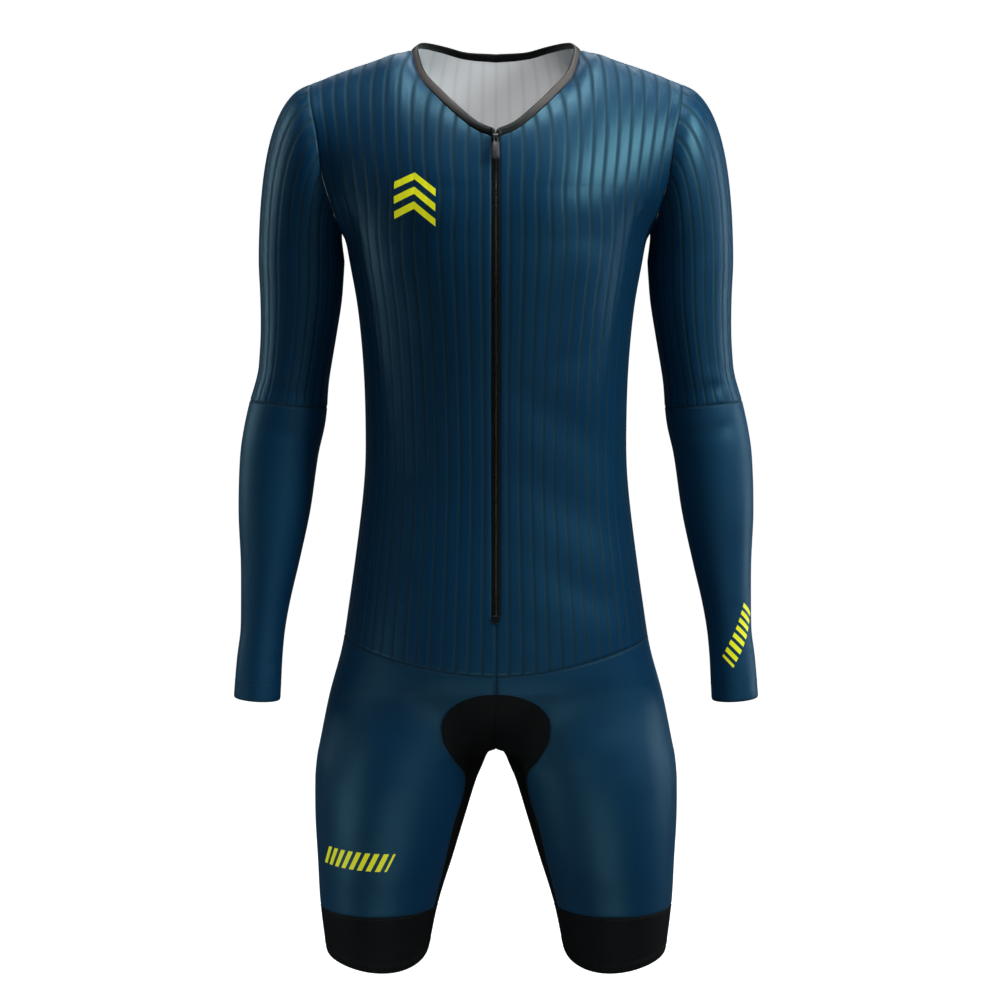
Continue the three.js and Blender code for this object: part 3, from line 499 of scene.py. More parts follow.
def faceWays(panels):     # the way each point faces, over all the panels that meet there
    grids = [grid for panel in panels.values() for grid in panel]
    flat = np.concatenate([grid["point"].reshape(-1, 3) for grid in grids])
    first, same = weld(flat)
    points, quads = flat[first], same[gridQuads([grid["point"] for grid in grids])]
    a, b, c, d = (points[quads[:, k]] for k in range(4))
    area = np.cross(c - a, d - b)
    ways = np.zeros_like(points)
    for k in range(4):
        np.add.at(ways, quads[:, k], area)
    flatWays, offset = unit(ways)[same], 0
    for grid in grids:
        count = grid["point"].shape[0] * grid["point"].shape[1]
        grid["way"] = flatWays[offset:offset + count].reshape(grid["point"].shape)
        offset += count


def meshObject(name, points, faces, materials, faceMaterial=None):
    mesh = bpy.data.meshes.new(name)
    mesh.from_pydata((np.asarray(points) * mm).tolist(), [], faces)
    for material in materials:
        mesh.materials.append(material)
    if faceMaterial is not None:
        mesh.polygons.foreach_set("material_index", faceMaterial)
    mesh.polygons.foreach_set("use_smooth", [True] * len(mesh.polygons))
    mesh.update()
    return addObject(name, mesh)


def nearestRim(points, rim):
    tree = kdtree.KDTree(len(rim))
    for i, point in enumerate(rim):
        tree.insert(point, i)
    tree.balance()
    return np.array([tree.find(point)[2] for point in points])


def clothPiece(name, panel, materials, thickness, isSleeve):
    flat = {key: np.concatenate([grid[key].reshape(-1, *grid[key].shape[2:]) for grid in panel])
            for key in ("point", "way", "rib", "u", "v")}
    first, same = weld(flat["point"])
    corners = gridQuads([grid["point"] for grid in panel])
    quads = same[corners]
    points, ways, rib = flat["point"][first], flat["way"][first], flat["rib"][first]
    rim = rimOf(quads)
    inward = np.zeros_like(points)
    along = unit(points[rim[:, 1]] - points[rim[:, 0]])
    for k in range(2):
        np.add.at(inward, rim[:, k], unit(np.cross(ways[rim[:, k]], along)))
    inward = unit(inward)
    onRim = np.unique(rim)
    away = nearestRim(points, points[onRim])
    taper = 1 - np.exp(-(away / cloth["ribTaper"]) ** 2)
    dip = cloth["seamDip"] * np.exp(-(away / cloth["seamWidth"]) ** 2)
    fold = creaseDepth(points, ways, isSleeve)
    lift = ribs["height"] * rib * taper - ribs["sunk"] * (rib.max() > 0) - dip - fold
    base = points + inward * cloth["seamInset"]
    outside = base + ways * lift[:, None]
    inside = base - ways * (thickness + fold)[:, None]
    middle = (outside[onRim] + inside[onRim]) / 2 - inward[onRim] * cloth["edgeRound"] * thickness
    count = len(points)
    midIndex = np.zeros(count, int)
    midIndex[onRim] = 2 * count + np.arange(len(onRim))
    faces, spots, faceMaterial = [], [], []
    for corner, quad in zip(corners.tolist(), quads.tolist()):
        kept = [k for k in range(4) if quad[k] != quad[k - 1]]
        if len(kept) < 3:
            continue
        faces.append([quad[k] for k in kept])
        spots.append([corner[k] for k in kept])
        faceMaterial.append(0)
    for i in range(len(faces)):
        faces.append([index + count for index in reversed(faces[i])])
        spots.append(list(reversed(spots[i])))
        faceMaterial.append(1 if len(materials) > 1 else 0)
    for a, b in rim.tolist():
        if a == b:
            continue
        edge = [(i, int(midIndex[i]), i + count) for i in (a, b)]     # outer, middle and inner
        for low, high in ((0, 1), (1, 2)):
            faces.append([edge[1][low], edge[0][low], edge[0][high], edge[1][high]])
            spots.append(None)
            faceMaterial.append(0)
    piece = meshObject(name, np.concatenate([outside, inside, middle]), faces, materials, faceMaterial)
    layer = piece.data.uv_layers.new(name="knit")
    uv = []
    for spot in spots:
        for index in (spot or [0, 0, 0, 0]):
            uv += [flat["u"][index] * mm, flat["v"][index] * mm]
    layer.data.foreach_set("uv", uv)
    # The groove attribute is painted shade: up to 1 in the rib grooves, beside every seam and cut edge, and
    # on the cut edges' own faces
    groove = piece.data.attributes.new("groove", "FLOAT", "POINT")
    shade = np.exp(-(away / cloth["seamShade"]) ** 2)     # painted shade: thin dark lines beside every seam and cut edge
    if rib.max() > 0:
        shade = np.maximum(shade, 1 - rib)
    depth = np.concatenate([shade, shade, np.ones(len(onRim))])
    groove.data.foreach_set("value", depth)
    return piece


# Torso

panels = {}
halfRibs = np.arange(0, 2 * ribs["perQuarter"] + 1) / 2
yokeRibs = halfRibs[halfRibs <= ribs["toArmhole"]]
bodyRows, chestRows, yokeRows = 52, 8, 16


def addPair(name, grids):
    panels[name + "_left"] = grids
    panels[name + "_right"] = [mirrored(grid) for grid in grids]


def halfTorso():
    turns = np.concatenate([halfRibs, 2 * ribs["perQuarter"] - halfRibs[-2::-1]]) / ribs["perQuarter"] / 2
    up = np.linspace(0, 1, bodyRows)[:, None]
    low = torsoPoint(turns[None], mix(waistHeight(turns)[None], levels["underarm"], up))
    rises = np.linspace(0, 1, chestRows + 1)
    frontChest, backChest = (chestGrid(side, halfRibs, rises) for side in ("front", "back"))
    body = np.concatenate([low, np.concatenate([frontChest, backChest[:, -2::-1]], 1)[1:]])
    rises = np.linspace(0, 1, yokeRows + 1)
    frontYoke, backYoke = (yokeGrid(side, yokeRibs, rises) for side in ("front", "back"))
    return ease([body, frontYoke, backYoke[:, ::-1]], easing["torsoRounds"])


def slotShift(points, column):     # the centre edges stand apart for the zip
    opening = np.clip((points[..., 2] - zipSizes["foot"]) / (zipSizes["end"] - zipSizes["foot"]), 0, 1)
    near = np.clip(1 - column / zipSizes["slotRibs"], 0, 1) ** 2
    points[:, 0, 0] = np.maximum(points[:, 0, 0], 0)
    points[..., 0] += np.maximum(zipSizes["slotHalf"] - points[:, :1, 0], 0) * opening * near


def torsoPanels():
    body, frontYoke, backYoke = halfTorso()
    last = len(body) - 1
    edge = 2 * ribs["toArmhole"]
    count = body.shape[1]
    upper = rowPlaces(last, last + yokeRows, nearStart=False)[1:]
    lower = rowPlaces(0, last)
    places = np.concatenate([lower, upper])
    mainColumns = ribPlaces(0, ribs["toArmhole"])
    sideColumns = ribPlaces(ribs["toArmhole"], ribs["perQuarter"])
    halves = {}
    for side, yokePart, main, flank in (
        ("front", frontYoke, body[:, :edge + 1], body[:, edge:count // 2 + 1]),
        ("back", backYoke, body[:, ::-1][:, :edge + 1], body[:, ::-1][:, edge:count // 2 + 1]),
    ):
        yokePart = yokePart if side == "front" else yokePart[:, ::-1]
        wide = refine(np.concatenate([main, yokePart[1:]]), places, mainColumns * 2)
        narrow = refine(flank, lower, (sideColumns - ribs["toArmhole"]) * 2)
        if side == "front":
            slotShift(wide, mainColumns)
        grids = []
        for points, column in ((wide, mainColumns), (narrow, sideColumns)):
            grid = measured(points)
            grid["rib"] = np.broadcast_to(ribHeight(column), points.shape[:2]).copy()
            if side == "back":
                grid = {name: value[:, ::-1] for name, value in grid.items()}
            grids.append(grid)
        halves[side] = grids
    return halves


torso = torsoPanels()
addPair("front", torso["front"])
panels["back"] = both(torso["back"])
faceWays(panels)
print("torso panels ready")

# Sleeves

sleeveGrid = {"capRows": 20, "armRows": 18, "lowerRows": 36, "lowerColumns": 96}


def sleevePanels():
    angle = np.linspace(0, 2 * math.pi, 2 * ribs["perSleeve"] + 1)
    capPart = capGrid(angle, np.linspace(0, 1, sleeveGrid["capRows"] + 1))
    seam = armSeam(angle, levels["elbowInner"], levels["elbowOuter"])
    down = np.linspace(0, 1, sleeveGrid["armRows"] + 1)[1:, None]
    armPart = armPoint(angle[None], mix(cap["ring"], seam[None], down))
    upper = ease([np.concatenate([capPart, armPart])[::-1].copy()], easing["sleeveRounds"])[0]
    columns = ribPlaces(0, ribs["perSleeve"])
    fine = measured(refine(upper, rowPlaces(0, len(upper) - 1), columns * 2))
    fine["rib"] = np.broadcast_to(ribHeight(columns), fine["point"].shape[:2]).copy()
    around = np.linspace(0, 2 * math.pi, sleeveGrid["lowerColumns"] + 1)
    cuff = armSeam(around, levels["cuffInner"], levels["cuffOuter"])
    elbow = armSeam(around, levels["elbowInner"], levels["elbowOuter"])
    up = rowPlaces(0, sleeveGrid["lowerRows"])[:, None] / sleeveGrid["lowerRows"]
    lower = measured(armPoint(around[None], mix(cuff[None], elbow[None], up)))
    for grid in (fine, lower):
        grid["point"][:, -1] = grid["point"][:, 0]
    return [fine], [lower]


upperSleeve, lowerSleeve = sleevePanels()
addPair("upper_sleeve", upperSleeve)
addPair("lower_sleeve", lowerSleeve)
for name in ("upper_sleeve_left", "lower_sleeve_left", "upper_sleeve_right", "lower_sleeve_right"):
    faceWays({name: panels[name]})
print("sleeve panels ready")

# Shorts

shortsGrid = {"legColumns": 112, "gussetColumns": 22, "bandRows": 20, "archRows": 17, "legRows": 38,
              "seatRows": 16, "waistRows": 16, "seatFoot": -706, "bandEdge": (0.3, 0.8, 1.8)}


def shortsLevels():
    arch = np.sin(np.linspace(0, math.pi / 2, shortsGrid["archRows"] + 1)[1:])
    leg = np.linspace(levels["band"], shortsGrid["seatFoot"], shortsGrid["legRows"])
    seat = np.linspace(shortsGrid["seatFoot"], gussetArch["widest"], shortsGrid["seatRows"] + 1)[1:]
    rise = gussetArch["widest"] + (levels["gussetTop"] - gussetArch["widest"]) * arch
    edge = levels["band"] + np.array(shortsGrid["bandEdge"])
    return np.sort(np.concatenate([leg, seat, rise, edge]))


def shortsPanels():
    below = shortsLevels()
    seam = gussetTurn(below)
    turn = np.linspace(0, 1, shortsGrid["legColumns"] + 1)
    near = np.clip(1 - 4 * np.minimum(turn, 1 - turn), 0, None) * np.where(turn < 0.5, 1, -1)
    lower = shortsPoint(turn[None] + seam[:, None] * near[None], below[:, None])
    rises = rowPlaces(0, shortsGrid["waistRows"], perRow=1)[1:] / shortsGrid["waistRows"]
    height = mix(levels["gussetTop"], waistHeight(turn)[None], rises[:, None])
    leg = np.concatenate([lower, shortsPoint(turn[None], height)])
    part = np.linspace(0, 1, shortsGrid["gussetColumns"] + 1)
    front = shortsPoint(seam[:, None] * part[None], below[:, None])
    back = shortsPoint(1 - seam[:, None] * (1 - part[None]), below[:, None])
    up = rowPlaces(0, shortsGrid["bandRows"], perRow=1)[:, None] / shortsGrid["bandRows"]
    facing = np.maximum(np.sin(2 * math.pi * turn), 0)
    dip = levels["hemDip"] * facing * (1 + levels["hemLean"] * np.cos(2 * math.pi * turn))
    band = shortsPoint(turn[None], mix(levels["hem"] - dip[None], levels["band"], up))
    return [measured(leg)], [measured(front), measured(back)], [measured(band)]


leg, gusset, band = shortsPanels()
addPair("leg", leg)
addPair("gusset", gusset)
addPair("leg_band", band)
faceWays({name: panels[name] for name in ("leg_left", "leg_right", "gusset_left", "gusset_right")})
faceWays({"leg_band_left": panels["leg_band_left"]})
faceWays({"leg_band_right": panels["leg_band_right"]})
print("shorts panels ready")

# Materials


def newMaterial(name):
    material = bpy.data.materials.new(name)
    material.use_nodes = True
    tree = material.node_tree
    return material, tree, tree.nodes["Principled BSDF"]


def node(tree, kind, **settings):
    made = tree.nodes.new(kind)
    for name, value in settings.items():
        if name in made.inputs:
            made.inputs[name].default_value = value
        else:
            setattr(made, name, value)
    return made


def math2(tree, operation, a, b=None):
    made = tree.nodes.new("ShaderNodeMath")
    made.operation = operation
    for i, value in enumerate((a, b)):
        if value is None:
            continue
        if isinstance(value, (int, float)):
            made.inputs[i].default_value = value
        else:
            tree.links.new(value, made.inputs[i])
    return made.outputs[0]


def colourMix(tree, amount, first, second):
    made = tree.nodes.new("ShaderNodeMix")
    made.data_type = "RGBA"
    for socket, value in ((made.inputs[0], amount), (made.inputs[6], first), (made.inputs[7], second)):
        if isinstance(value, (tuple, int, float)):
            socket.default_value = value
        else:
            tree.links.new(value, socket)
    return made.outputs[2]


def srgb(r, g, b):
    def linear(v):
        v = v / 255
        return v / 12.92 if v <= 0.04045 else ((v + 0.055) / 1.055) ** 2.4
    return (linear(r), linear(g), linear(b), 1)


colours = {
    # the two groove colours are painted shade for the rib grooves, seams and cut edges, outside and inside
    "navy": srgb(10, 60, 90), "deep": srgb(4, 40, 76), "groove": srgb(4, 27, 45),
    "inside": srgb(228, 228, 229), "insideGrooveShade": srgb(196, 196, 199),
    "sheen": srgb(138, 202, 214), "yellow": srgb(232, 230, 20),
    # trim is a painted sheen, a brown-grey highlight on the black binding's upper front
    "black": srgb(9, 9, 10), "blackLight": srgb(16, 16, 17), "trim": srgb(82, 74, 71), "zip": srgb(11, 9, 9),
    "coil": srgb(26, 18, 14), "metal": srgb(30, 30, 33), "tab": srgb(84, 78, 79),
    "blueThread": srgb(18, 54, 82), "blackThread": srgb(17, 17, 18),
}


def parts(tree, source):     # x, y and z of a coordinate
    split = tree.nodes.new("ShaderNodeSeparateXYZ")
    tree.links.new(source, split.inputs[0])
    return split.outputs


def knitWays(tree):     # across and up the cloth, in metres
    return parts(tree, node(tree, "ShaderNodeUVMap", uv_map="knit").outputs[0])


def knit(tree, shader, wale, course, strength, distance):     # fine upright loops along the cloth's own ways
    ways = knitWays(tree)
    across = math2(tree, "SINE", math2(tree, "MULTIPLY", ways[0], 2 * math.pi / (wale * mm)))
    up = math2(tree, "MULTIPLY", ways[1], 2 * math.pi / (course * mm))
    bent = math2(tree, "MULTIPLY", math2(tree, "ABSOLUTE", across), 1.6)
    loops = math2(tree, "SINE", math2(tree, "ADD", up, bent))
    height = math2(tree, "ADD", math2(tree, "MULTIPLY", across, 0.6), math2(tree, "MULTIPLY", loops, 0.4))
    bump = node(tree, "ShaderNodeBump", Strength=strength, Distance=distance * mm)
    tree.links.new(height, bump.inputs["Height"])
    tree.links.new(bump.outputs[0], shader.inputs["Normal"])


def cloudy(tree, scale):
    coordinates = tree.nodes.new("ShaderNodeTexCoord")
    noise = node(tree, "ShaderNodeTexNoise", Scale=scale, Detail=3)
    tree.links.new(coordinates.outputs["Object"], noise.inputs["Vector"])
    return noise.outputs["Fac"]


def inBox(tree, u, v, halfU, halfV):
    inU = math2(tree, "LESS_THAN", math2(tree, "ABSOLUTE", u), halfU)
    return math2(tree, "MULTIPLY", inU, math2(tree, "LESS_THAN", math2(tree, "ABSOLUTE", v), halfV))


def spotOn(panel, x, z):     # where a panel's own ways are, in metres, at a place seen from the front
    grid = panels[panel][0]
    away = np.hypot(grid["point"][..., 0] - x, grid["point"][..., 2] - z)
    away = away + np.where(grid["way"][..., 1] < 0, 0, 1000)     # the front's own points only
    row, column = np.unravel_index(np.argmin(away), away.shape)
    return grid["u"][row, column] * mm, grid["v"][row, column] * mm


def alongCloth(tree, mark):     # flat coordinates about a mark's middle, turned with it
    u0, v0 = spotOn(mark["panel"], *mark["at"])
    ways = knitWays(tree)
    x = math2(tree, "MULTIPLY", math2(tree, "SUBTRACT", ways[0], float(u0)), mark["flip"])
    z = math2(tree, "SUBTRACT", ways[1], float(v0))
    c, s = math.cos(math.radians(mark["turn"])), math.sin(math.radians(mark["turn"]))
    u = math2(tree, "ADD", math2(tree, "MULTIPLY", x, c), math2(tree, "MULTIPLY", z, s))
    return u, math2(tree, "SUBTRACT", math2(tree, "MULTIPLY", z, c), math2(tree, "MULTIPLY", x, s))


wholePitches = 50.0     # added so that no place along the stripes is below 0


def stripes(tree, mark, place, u, v):     # even stripes along a place, kept to a box about the mark's middle
    wave = math2(tree, "DIVIDE", place, mark["pitch"] * mm)
    wave = math2(tree, "FRACT", math2(tree, "ADD", wave, wholePitches))
    box = inBox(tree, u, v, mark["halfLength"] * mm, mark["halfHeight"] * mm)
    return math2(tree, "MULTIPLY", math2(tree, "LESS_THAN", wave, mark["filled"]), box)


def slantedBars(tree, mark):
    u, v = alongCloth(tree, mark)
    slant = math2(tree, "SUBTRACT", u, math2(tree, "MULTIPLY", v, mark["slant"]))
    return stripes(tree, mark, slant, slant, v)


def chevrons(tree, mark):
    u, v = alongCloth(tree, mark)
    bent = math2(tree, "ADD", v, math2(tree, "MULTIPLY", math2(tree, "ABSOLUTE", u), mark["steep"]))
    return stripes(tree, mark, bent, u, math2(tree, "SUBTRACT", bent, mark["middle"] * mm))


marks = {
    "chest": {"shape": chevrons, "panel": "front_right", "at": (-76.5, -152), "flip": -1, "turn": 0,
              "steep": 0.62, "pitch": 14, "filled": 0.5, "halfLength": 21, "halfHeight": 21, "middle": 7},
    "thigh": {"shape": slantedBars, "panel": "leg_right", "at": (-140, -801), "flip": -1, "turn": 0,
              "slant": 0.32, "pitch": 9.4, "filled": 0.56, "halfLength": 40, "halfHeight": 9.5},
    "forearm": {"shape": slantedBars, "panel": "lower_sleeve_left", "at": (243, -583), "flip": 1, "turn": 58,
                "slant": 0.3, "pitch": 8.2, "filled": 0.56, "halfLength": 31, "halfHeight": 7.5},
}


blueLook = {"patches": 5.0, "grain": 40.0, "grainRough": 0.08, "grooveShade": 0.85, "grooveRough": 0.35,
            "glow": 0.3, "specular": 0.8, "sheen": 0.06, "sheenRough": 0.3}


def blueCloth(name, mark=None, roughness=0.37):
    material, tree, shader = newMaterial(name)
    shade = colourMix(tree, cloudy(tree, blueLook["patches"]), colours["navy"], colours["deep"])
    # painted shade: the base colour darkens towards the groove colour where the groove attribute is high
    groove = node(tree, "ShaderNodeAttribute", attribute_name="groove").outputs["Fac"]
    paintedShadeAmount = math2(tree, "MULTIPLY", groove, blueLook["grooveShade"])
    shade = colourMix(tree, paintedShadeAmount, shade, colours["groove"])
    if mark:
        shape = mark["shape"](tree, mark)
        shade = colourMix(tree, shape, shade, colours["yellow"])
        glow = colourMix(tree, shape, (0.0, 0.0, 0.0, 1.0), colours["yellow"])     # painted glow on the yellow print, standing in for the brightness of a fluorescent ink
        tree.links.new(glow, shader.inputs["Emission Color"])
        shader.inputs["Emission Strength"].default_value = blueLook["glow"]
    tree.links.new(shade, shader.inputs["Base Color"])
    rough = math2(tree, "MULTIPLY", cloudy(tree, blueLook["grain"]), blueLook["grainRough"])
    rough = math2(tree, "ADD", rough, roughness - blueLook["grainRough"] / 2)
    rough = math2(tree, "ADD", rough, math2(tree, "MULTIPLY", groove, blueLook["grooveRough"]))
    tree.links.new(rough, shader.inputs["Roughness"])
    shader.inputs["Specular IOR Level"].default_value = blueLook["specular"]
    shader.inputs["Specular Tint"].default_value = colours["sheen"]
    shader.inputs["Sheen Weight"].default_value = blueLook["sheen"]
    shader.inputs["Sheen Roughness"].default_value = blueLook["sheenRough"]
    shader.inputs["Sheen Tint"].default_value = colours["sheen"]
    knit(tree, shader, 0.9, 0.8, 0.25, 0.12)
    return material


def innerCloth():
    material, tree, shader = newMaterial("suit_inside")
    # painted shade: the inside darkens a little in the rib grooves, beside the seams and on the cut edges
    groove = node(tree, "ShaderNodeAttribute", attribute_name="groove").outputs["Fac"]
    paintedShadeAmount = math2(tree, "MULTIPLY", groove, 0.35)
    shade = colourMix(tree, paintedShadeAmount, colours["inside"], colours["insideGrooveShade"])
    tree.links.new(shade, shader.inputs["Base Color"])
    shader.inputs["Roughness"].default_value = 0.8
    knit(tree, shader, 1.1, 0.9, 0.3, 0.15)
    return material


def blackCloth(name, base, roughness, wale, course, strength):
    material, tree, shader = newMaterial(name)
    shade = colourMix(tree, cloudy(tree, 60.0), base, colours["blackLight"])
    tree.links.new(shade, shader.inputs["Base Color"])
    shader.inputs["Roughness"].default_value = roughness
    shader.inputs["Specular IOR Level"].default_value = 0.15
    knit(tree, shader, wale, course, strength, 0.2)
    return material


def trimCloth(name, base, roughness, look):     # the binding is black; its base colour is a painted sheen, kept off both edges and fading out behind the neck and low at the zip
    material, tree, shader = newMaterial(name)
    place = parts(tree, node(tree, "ShaderNodeTexCoord").outputs["Object"])
    off = math2(tree, "ABSOLUTE", math2(tree, "SUBTRACT", knitWays(tree)[1], look["middle"] * mm))
    edge = math2(tree, "GREATER_THAN", off, look["half"] * mm)
    fades = []
    fade = look["fade"]
    for out, start, span in ((place[1], look["behind"], fade), (place[2], look["low"], -fade)):
        part = math2(tree, "DIVIDE", math2(tree, "SUBTRACT", out, start * mm), span * mm)
        fades.append(math2(tree, "MINIMUM", math2(tree, "MAXIMUM", part, 0.0), 1.0))
    paintedSheenOff = math2(tree, "MAXIMUM", edge, math2(tree, "MAXIMUM", *fades))
    tree.links.new(colourMix(tree, paintedSheenOff, base, colours["black"]), shader.inputs["Base Color"])
    shader.inputs["Roughness"].default_value = roughness
    shader.inputs["Specular IOR Level"].default_value = 0.2
    knit(tree, shader, 0.8, 0.8, 0.25, 0.2)
    return material


def plainFinish(name, base, roughness, metallic=0.0, grain=300.0, strength=0.1):
    material, tree, shader = newMaterial(name)
    fine = cloudy(tree, grain)
    lighter = tuple(min(v * 1.7, 1) for v in base[:3]) + (1,)
    shade = colourMix(tree, math2(tree, "MULTIPLY", fine, 0.5), base, lighter)
    tree.links.new(shade, shader.inputs["Base Color"])
    shader.inputs["Roughness"].default_value = roughness
    shader.inputs["Metallic"].default_value = metallic
    bump = node(tree, "ShaderNodeBump", Strength=strength, Distance=0.1 * mm)
    tree.links.new(fine, bump.inputs["Height"])
    tree.links.new(bump.outputs[0], shader.inputs["Normal"])
    return material


# where the binding's painted sheen sits: its middle band, fading out behind the neck and low at the zip
trimLook = {"middle": 2.25, "half": 3.2, "behind": -10, "low": -62, "fade": 25}
finishes = {
    "ribbed": blueCloth("ribbed_blue"),
    "ribbedMark": blueCloth("ribbed_blue_marked", marks["chest"]),
    "smooth": blueCloth("smooth_blue", None, 0.47),
    "thighMark": blueCloth("smooth_blue_thigh_mark", marks["thigh"], 0.47),
    "forearmMark": blueCloth("smooth_blue_forearm_mark", marks["forearm"], 0.47),
    "inside": innerCloth(),
    "gusset": blackCloth("black_lycra", colours["black"], 0.62, 0.9, 0.8, 0.3),
    "band": blackCloth("elastic_web", colours["black"], 0.66, 2.2, 1.1, 0.5),
    "trim": trimCloth("neck_trim", colours["trim"], 0.42, trimLook),
    "tape": blackCloth("zip_tape", colours["zip"], 0.7, 0.7, 0.7, 0.4),
    "coil": plainFinish("zip_coil", colours["coil"], 0.38),
    "metal": plainFinish("zip_lacquer", colours["metal"], 0.3, 0.6, 500.0, 0.05),
    "tab": plainFinish("pull_tab_lacquer", colours["tab"], 0.32, 0.7, 500.0, 0.05),
    "blueThread": plainFinish("blue_thread", colours["blueThread"], 0.6),
    "blackThread": plainFinish("black_thread", colours["blackThread"], 0.6),
}
print("materials ready")

# Cloth pieces

outerFinish = {"front": "ribbed", "back": "ribbed", "upper_sleeve": "ribbed", "lower_sleeve": "smooth",
               "leg": "smooth", "gusset": "gusset", "leg_band": "band"}
markedFinish = {"front_right": "ribbedMark", "lower_sleeve_left": "forearmMark", "leg_right": "thighMark"}


def cutName(name):     # left and right are cut alike
    return name.removesuffix("_left").removesuffix("_right")


pieces = {}
for name, panel in panels.items():
    outer = markedFinish.get(name) or outerFinish[cutName(name)]
    blue = outer not in ("gusset", "band")
    materials = [finishes[outer], finishes["inside"]] if blue else [finishes[outer]]
    thickness = cloth["bandThickness"] if outer == "band" else cloth["thickness"]
    pieces[name] = clothPiece(name + "_cloth", panel, materials, thickness, "sleeve" in name)
print("cloth pieces made")

# Neck binding: a folded strip swept along the neckline

binding = {"width": 6.5, "over": 2.0, "out": 1.15, "in": 1.0, "steps": 6, "tip": 0.5}
bindingFacing = {"front": (0, -0.95, 0.3), "back": (0, 0.9, 0.4), "side": (0.6, 0, 0.8)}


def fixNormals(piece):
    shape = bmesh.new()
    shape.from_mesh(piece.data)
    bmesh.ops.remove_doubles(shape, verts=shape.verts, dist=1e-6)
    bmesh.ops.recalc_face_normals(shape, faces=shape.faces)
    shape.to_mesh(piece.data)
    shape.free()


def sweptPiece(name, rings, finish, uvAt):     # a closed strip through rings of points, both ends capped
    rows, columns = rings.shape[:2]
    faces = []
    for i in range(rows - 1):
        for j in range(columns):
            k = (j + 1) % columns
            faces.append([i * columns + j, (i + 1) * columns + j, (i + 1) * columns + k, i * columns + k])
    faces += [list(range(columns)), [(rows - 1) * columns + j for j in reversed(range(columns))]]
    piece = meshObject(name, rings.reshape(-1, 3), faces, [finish])
    layer = piece.data.uv_layers.new(name="knit")
    places = [uvAt(*divmod(index, columns)) for polygon in piece.data.polygons for index in polygon.vertices]
    layer.data.foreach_set("uv", [value * mm for place in places for value in place])
    fixNormals(piece)
    return piece


def bindingPath():
    points, ways, outs = [], [], []
    for side in ("front", "back"):
        column = np.linspace(0, ribs["toNeckPoint"], 8 * binding["steps"] + 1)
        here = topPoint(side, column)
        after, before = np.minimum(column + 0.05, ribs["toNeckPoint"]), np.maximum(column - 0.05, 0)
        along = unit(topPoint(side, after) - topPoint(side, before))
        middle, end = (np.array(bindingFacing[place]) for place in (side, "side"))
        facing = mix(middle, end, (column / ribs["toNeckPoint"])[:, None])
        way = unit(np.cross(facing, along)) * (1 if side == "front" else -1)
        out = unit(np.cross(along, way)) * (1 if side == "front" else -1)
        if side == "back":
            here, way, out = here[-2::-1], way[-2::-1], out[-2::-1]
        points.append(here)
        ways.append(way)
        outs.append(out)
    points, ways, outs = (np.concatenate(part) for part in (points, ways, outs))
    for part in (ways, outs):
        part[0, 0] = part[-1, 0] = 0
    kernel = np.array([1, 2, 3, 2, 1]) / 9
    for part in (points, ways, outs):
        padded = np.concatenate([part[:1], part[:1], part, part[-1:], part[-1:]])
        eased = sum(kernel[k] * padded[k:k + len(part)] for k in range(5))
        part[2:-2] = eased[2:-2]
    return points, unit(ways), unit(outs)


def bindingSection():
    w, over, out, back = binding["width"], binding["over"], binding["out"], binding["in"]
    outline = [(-over, 0.35), (-over + 0.25, 0.8), (-over + 0.9, out), (w * 0.45, out + 0.12), (w - 0.9, out)]
    outline += [(w - 0.2, 0.5), (w, -0.1), (w - 0.2, -0.7), (w - 0.9, -back - 0.2), (w * 0.4, -back - 0.35)]
    outline += [(-over + 0.9, -back - 0.5), (-over + 0.2, -back - 0.4), (-over, -back), (-over + 0.3, -0.4)]
    return np.array(outline)


def makeBinding():
    points, ways, outs = bindingPath()
    flip = np.array([-1, 1, 1])
    step = points[1] - points[0]
    tip = points[0] - step * (points[0, 0] - binding["tip"]) / step[0]     # the ends meet above the slider
    points, ways, outs = (np.concatenate([first[None], part]) for first, part in
                          ((tip, points), (ways[0], ways), (outs[0], outs)))
    points = np.concatenate([points, points[-2::-1] * flip])
    ways = np.concatenate([ways, ways[-2::-1] * flip])
    outs = np.concatenate([outs, outs[-2::-1] * flip])
    outline = bindingSection()
    rings = points[:, None] + outline[None, :, :1] * ways[:, None] + outline[None, :, 1:] * outs[:, None]
    length = np.concatenate([[0], np.cumsum(np.linalg.norm(np.diff(points, axis=0), axis=1))])
    return sweptPiece("neck_binding_cloth", rings, finishes["trim"], lambda i, j: (length[i], outline[j][0]))


pieces["neck_binding"] = makeBinding()
print("neck binding made")

# Zip

zipper = {"halfWidth": 3.65, "coilHalf": 1.75, "coilRadius": 0.42, "pitch": 1.25, "coilLift": 0.55, "wing": 8,
          "under": 1.6, "past": 2.4}


def frontCentre():     # the zip's line, from the bottom stop to the neckline
    grid = panels["front_left"][0]
    line, ways = grid["point"][:, 0], grid["way"][:, 0]
    up = line[:, 2] >= zipSizes["end"] - 1
    line, ways = line[up].copy(), ways[up].copy()
    line[:, 0] = ways[:, 0] = 0
    return line, unit(ways)


def withEnd(line, ways, reach):     # the tape runs on past the neckline, under the binding
    step = line[-1] + unit(line[-1] - line[-8]) * reach
    return np.concatenate([line, step[None]]), np.concatenate([ways, ways[-1:]])


def makeTape():
    line, ways = withEnd(*frontCentre(), zipper["past"])
    w, c = zipper["halfWidth"], zipper["coilHalf"]
    wing, under = zipper["wing"], zipper["under"]
    half = [(0, 0), (c, 0.05), (c + 0.35, 0.25), (w - 0.35, 0.2), (w, -0.1), (w, -under), (wing, -under),
            (wing, -under - 0.4), (0, -under - 0.5)]
    across = half + [(-x, lift) for x, lift in half[-2:0:-1]]
    rings = np.array([[point + way * lift + np.array([x, 0, 0]) for x, lift in across]
                      for point, way in zip(line, ways)])
    return sweptPiece("zip_tape", rings, finishes["tape"], lambda i, j: (across[j][0], line[i][2]))


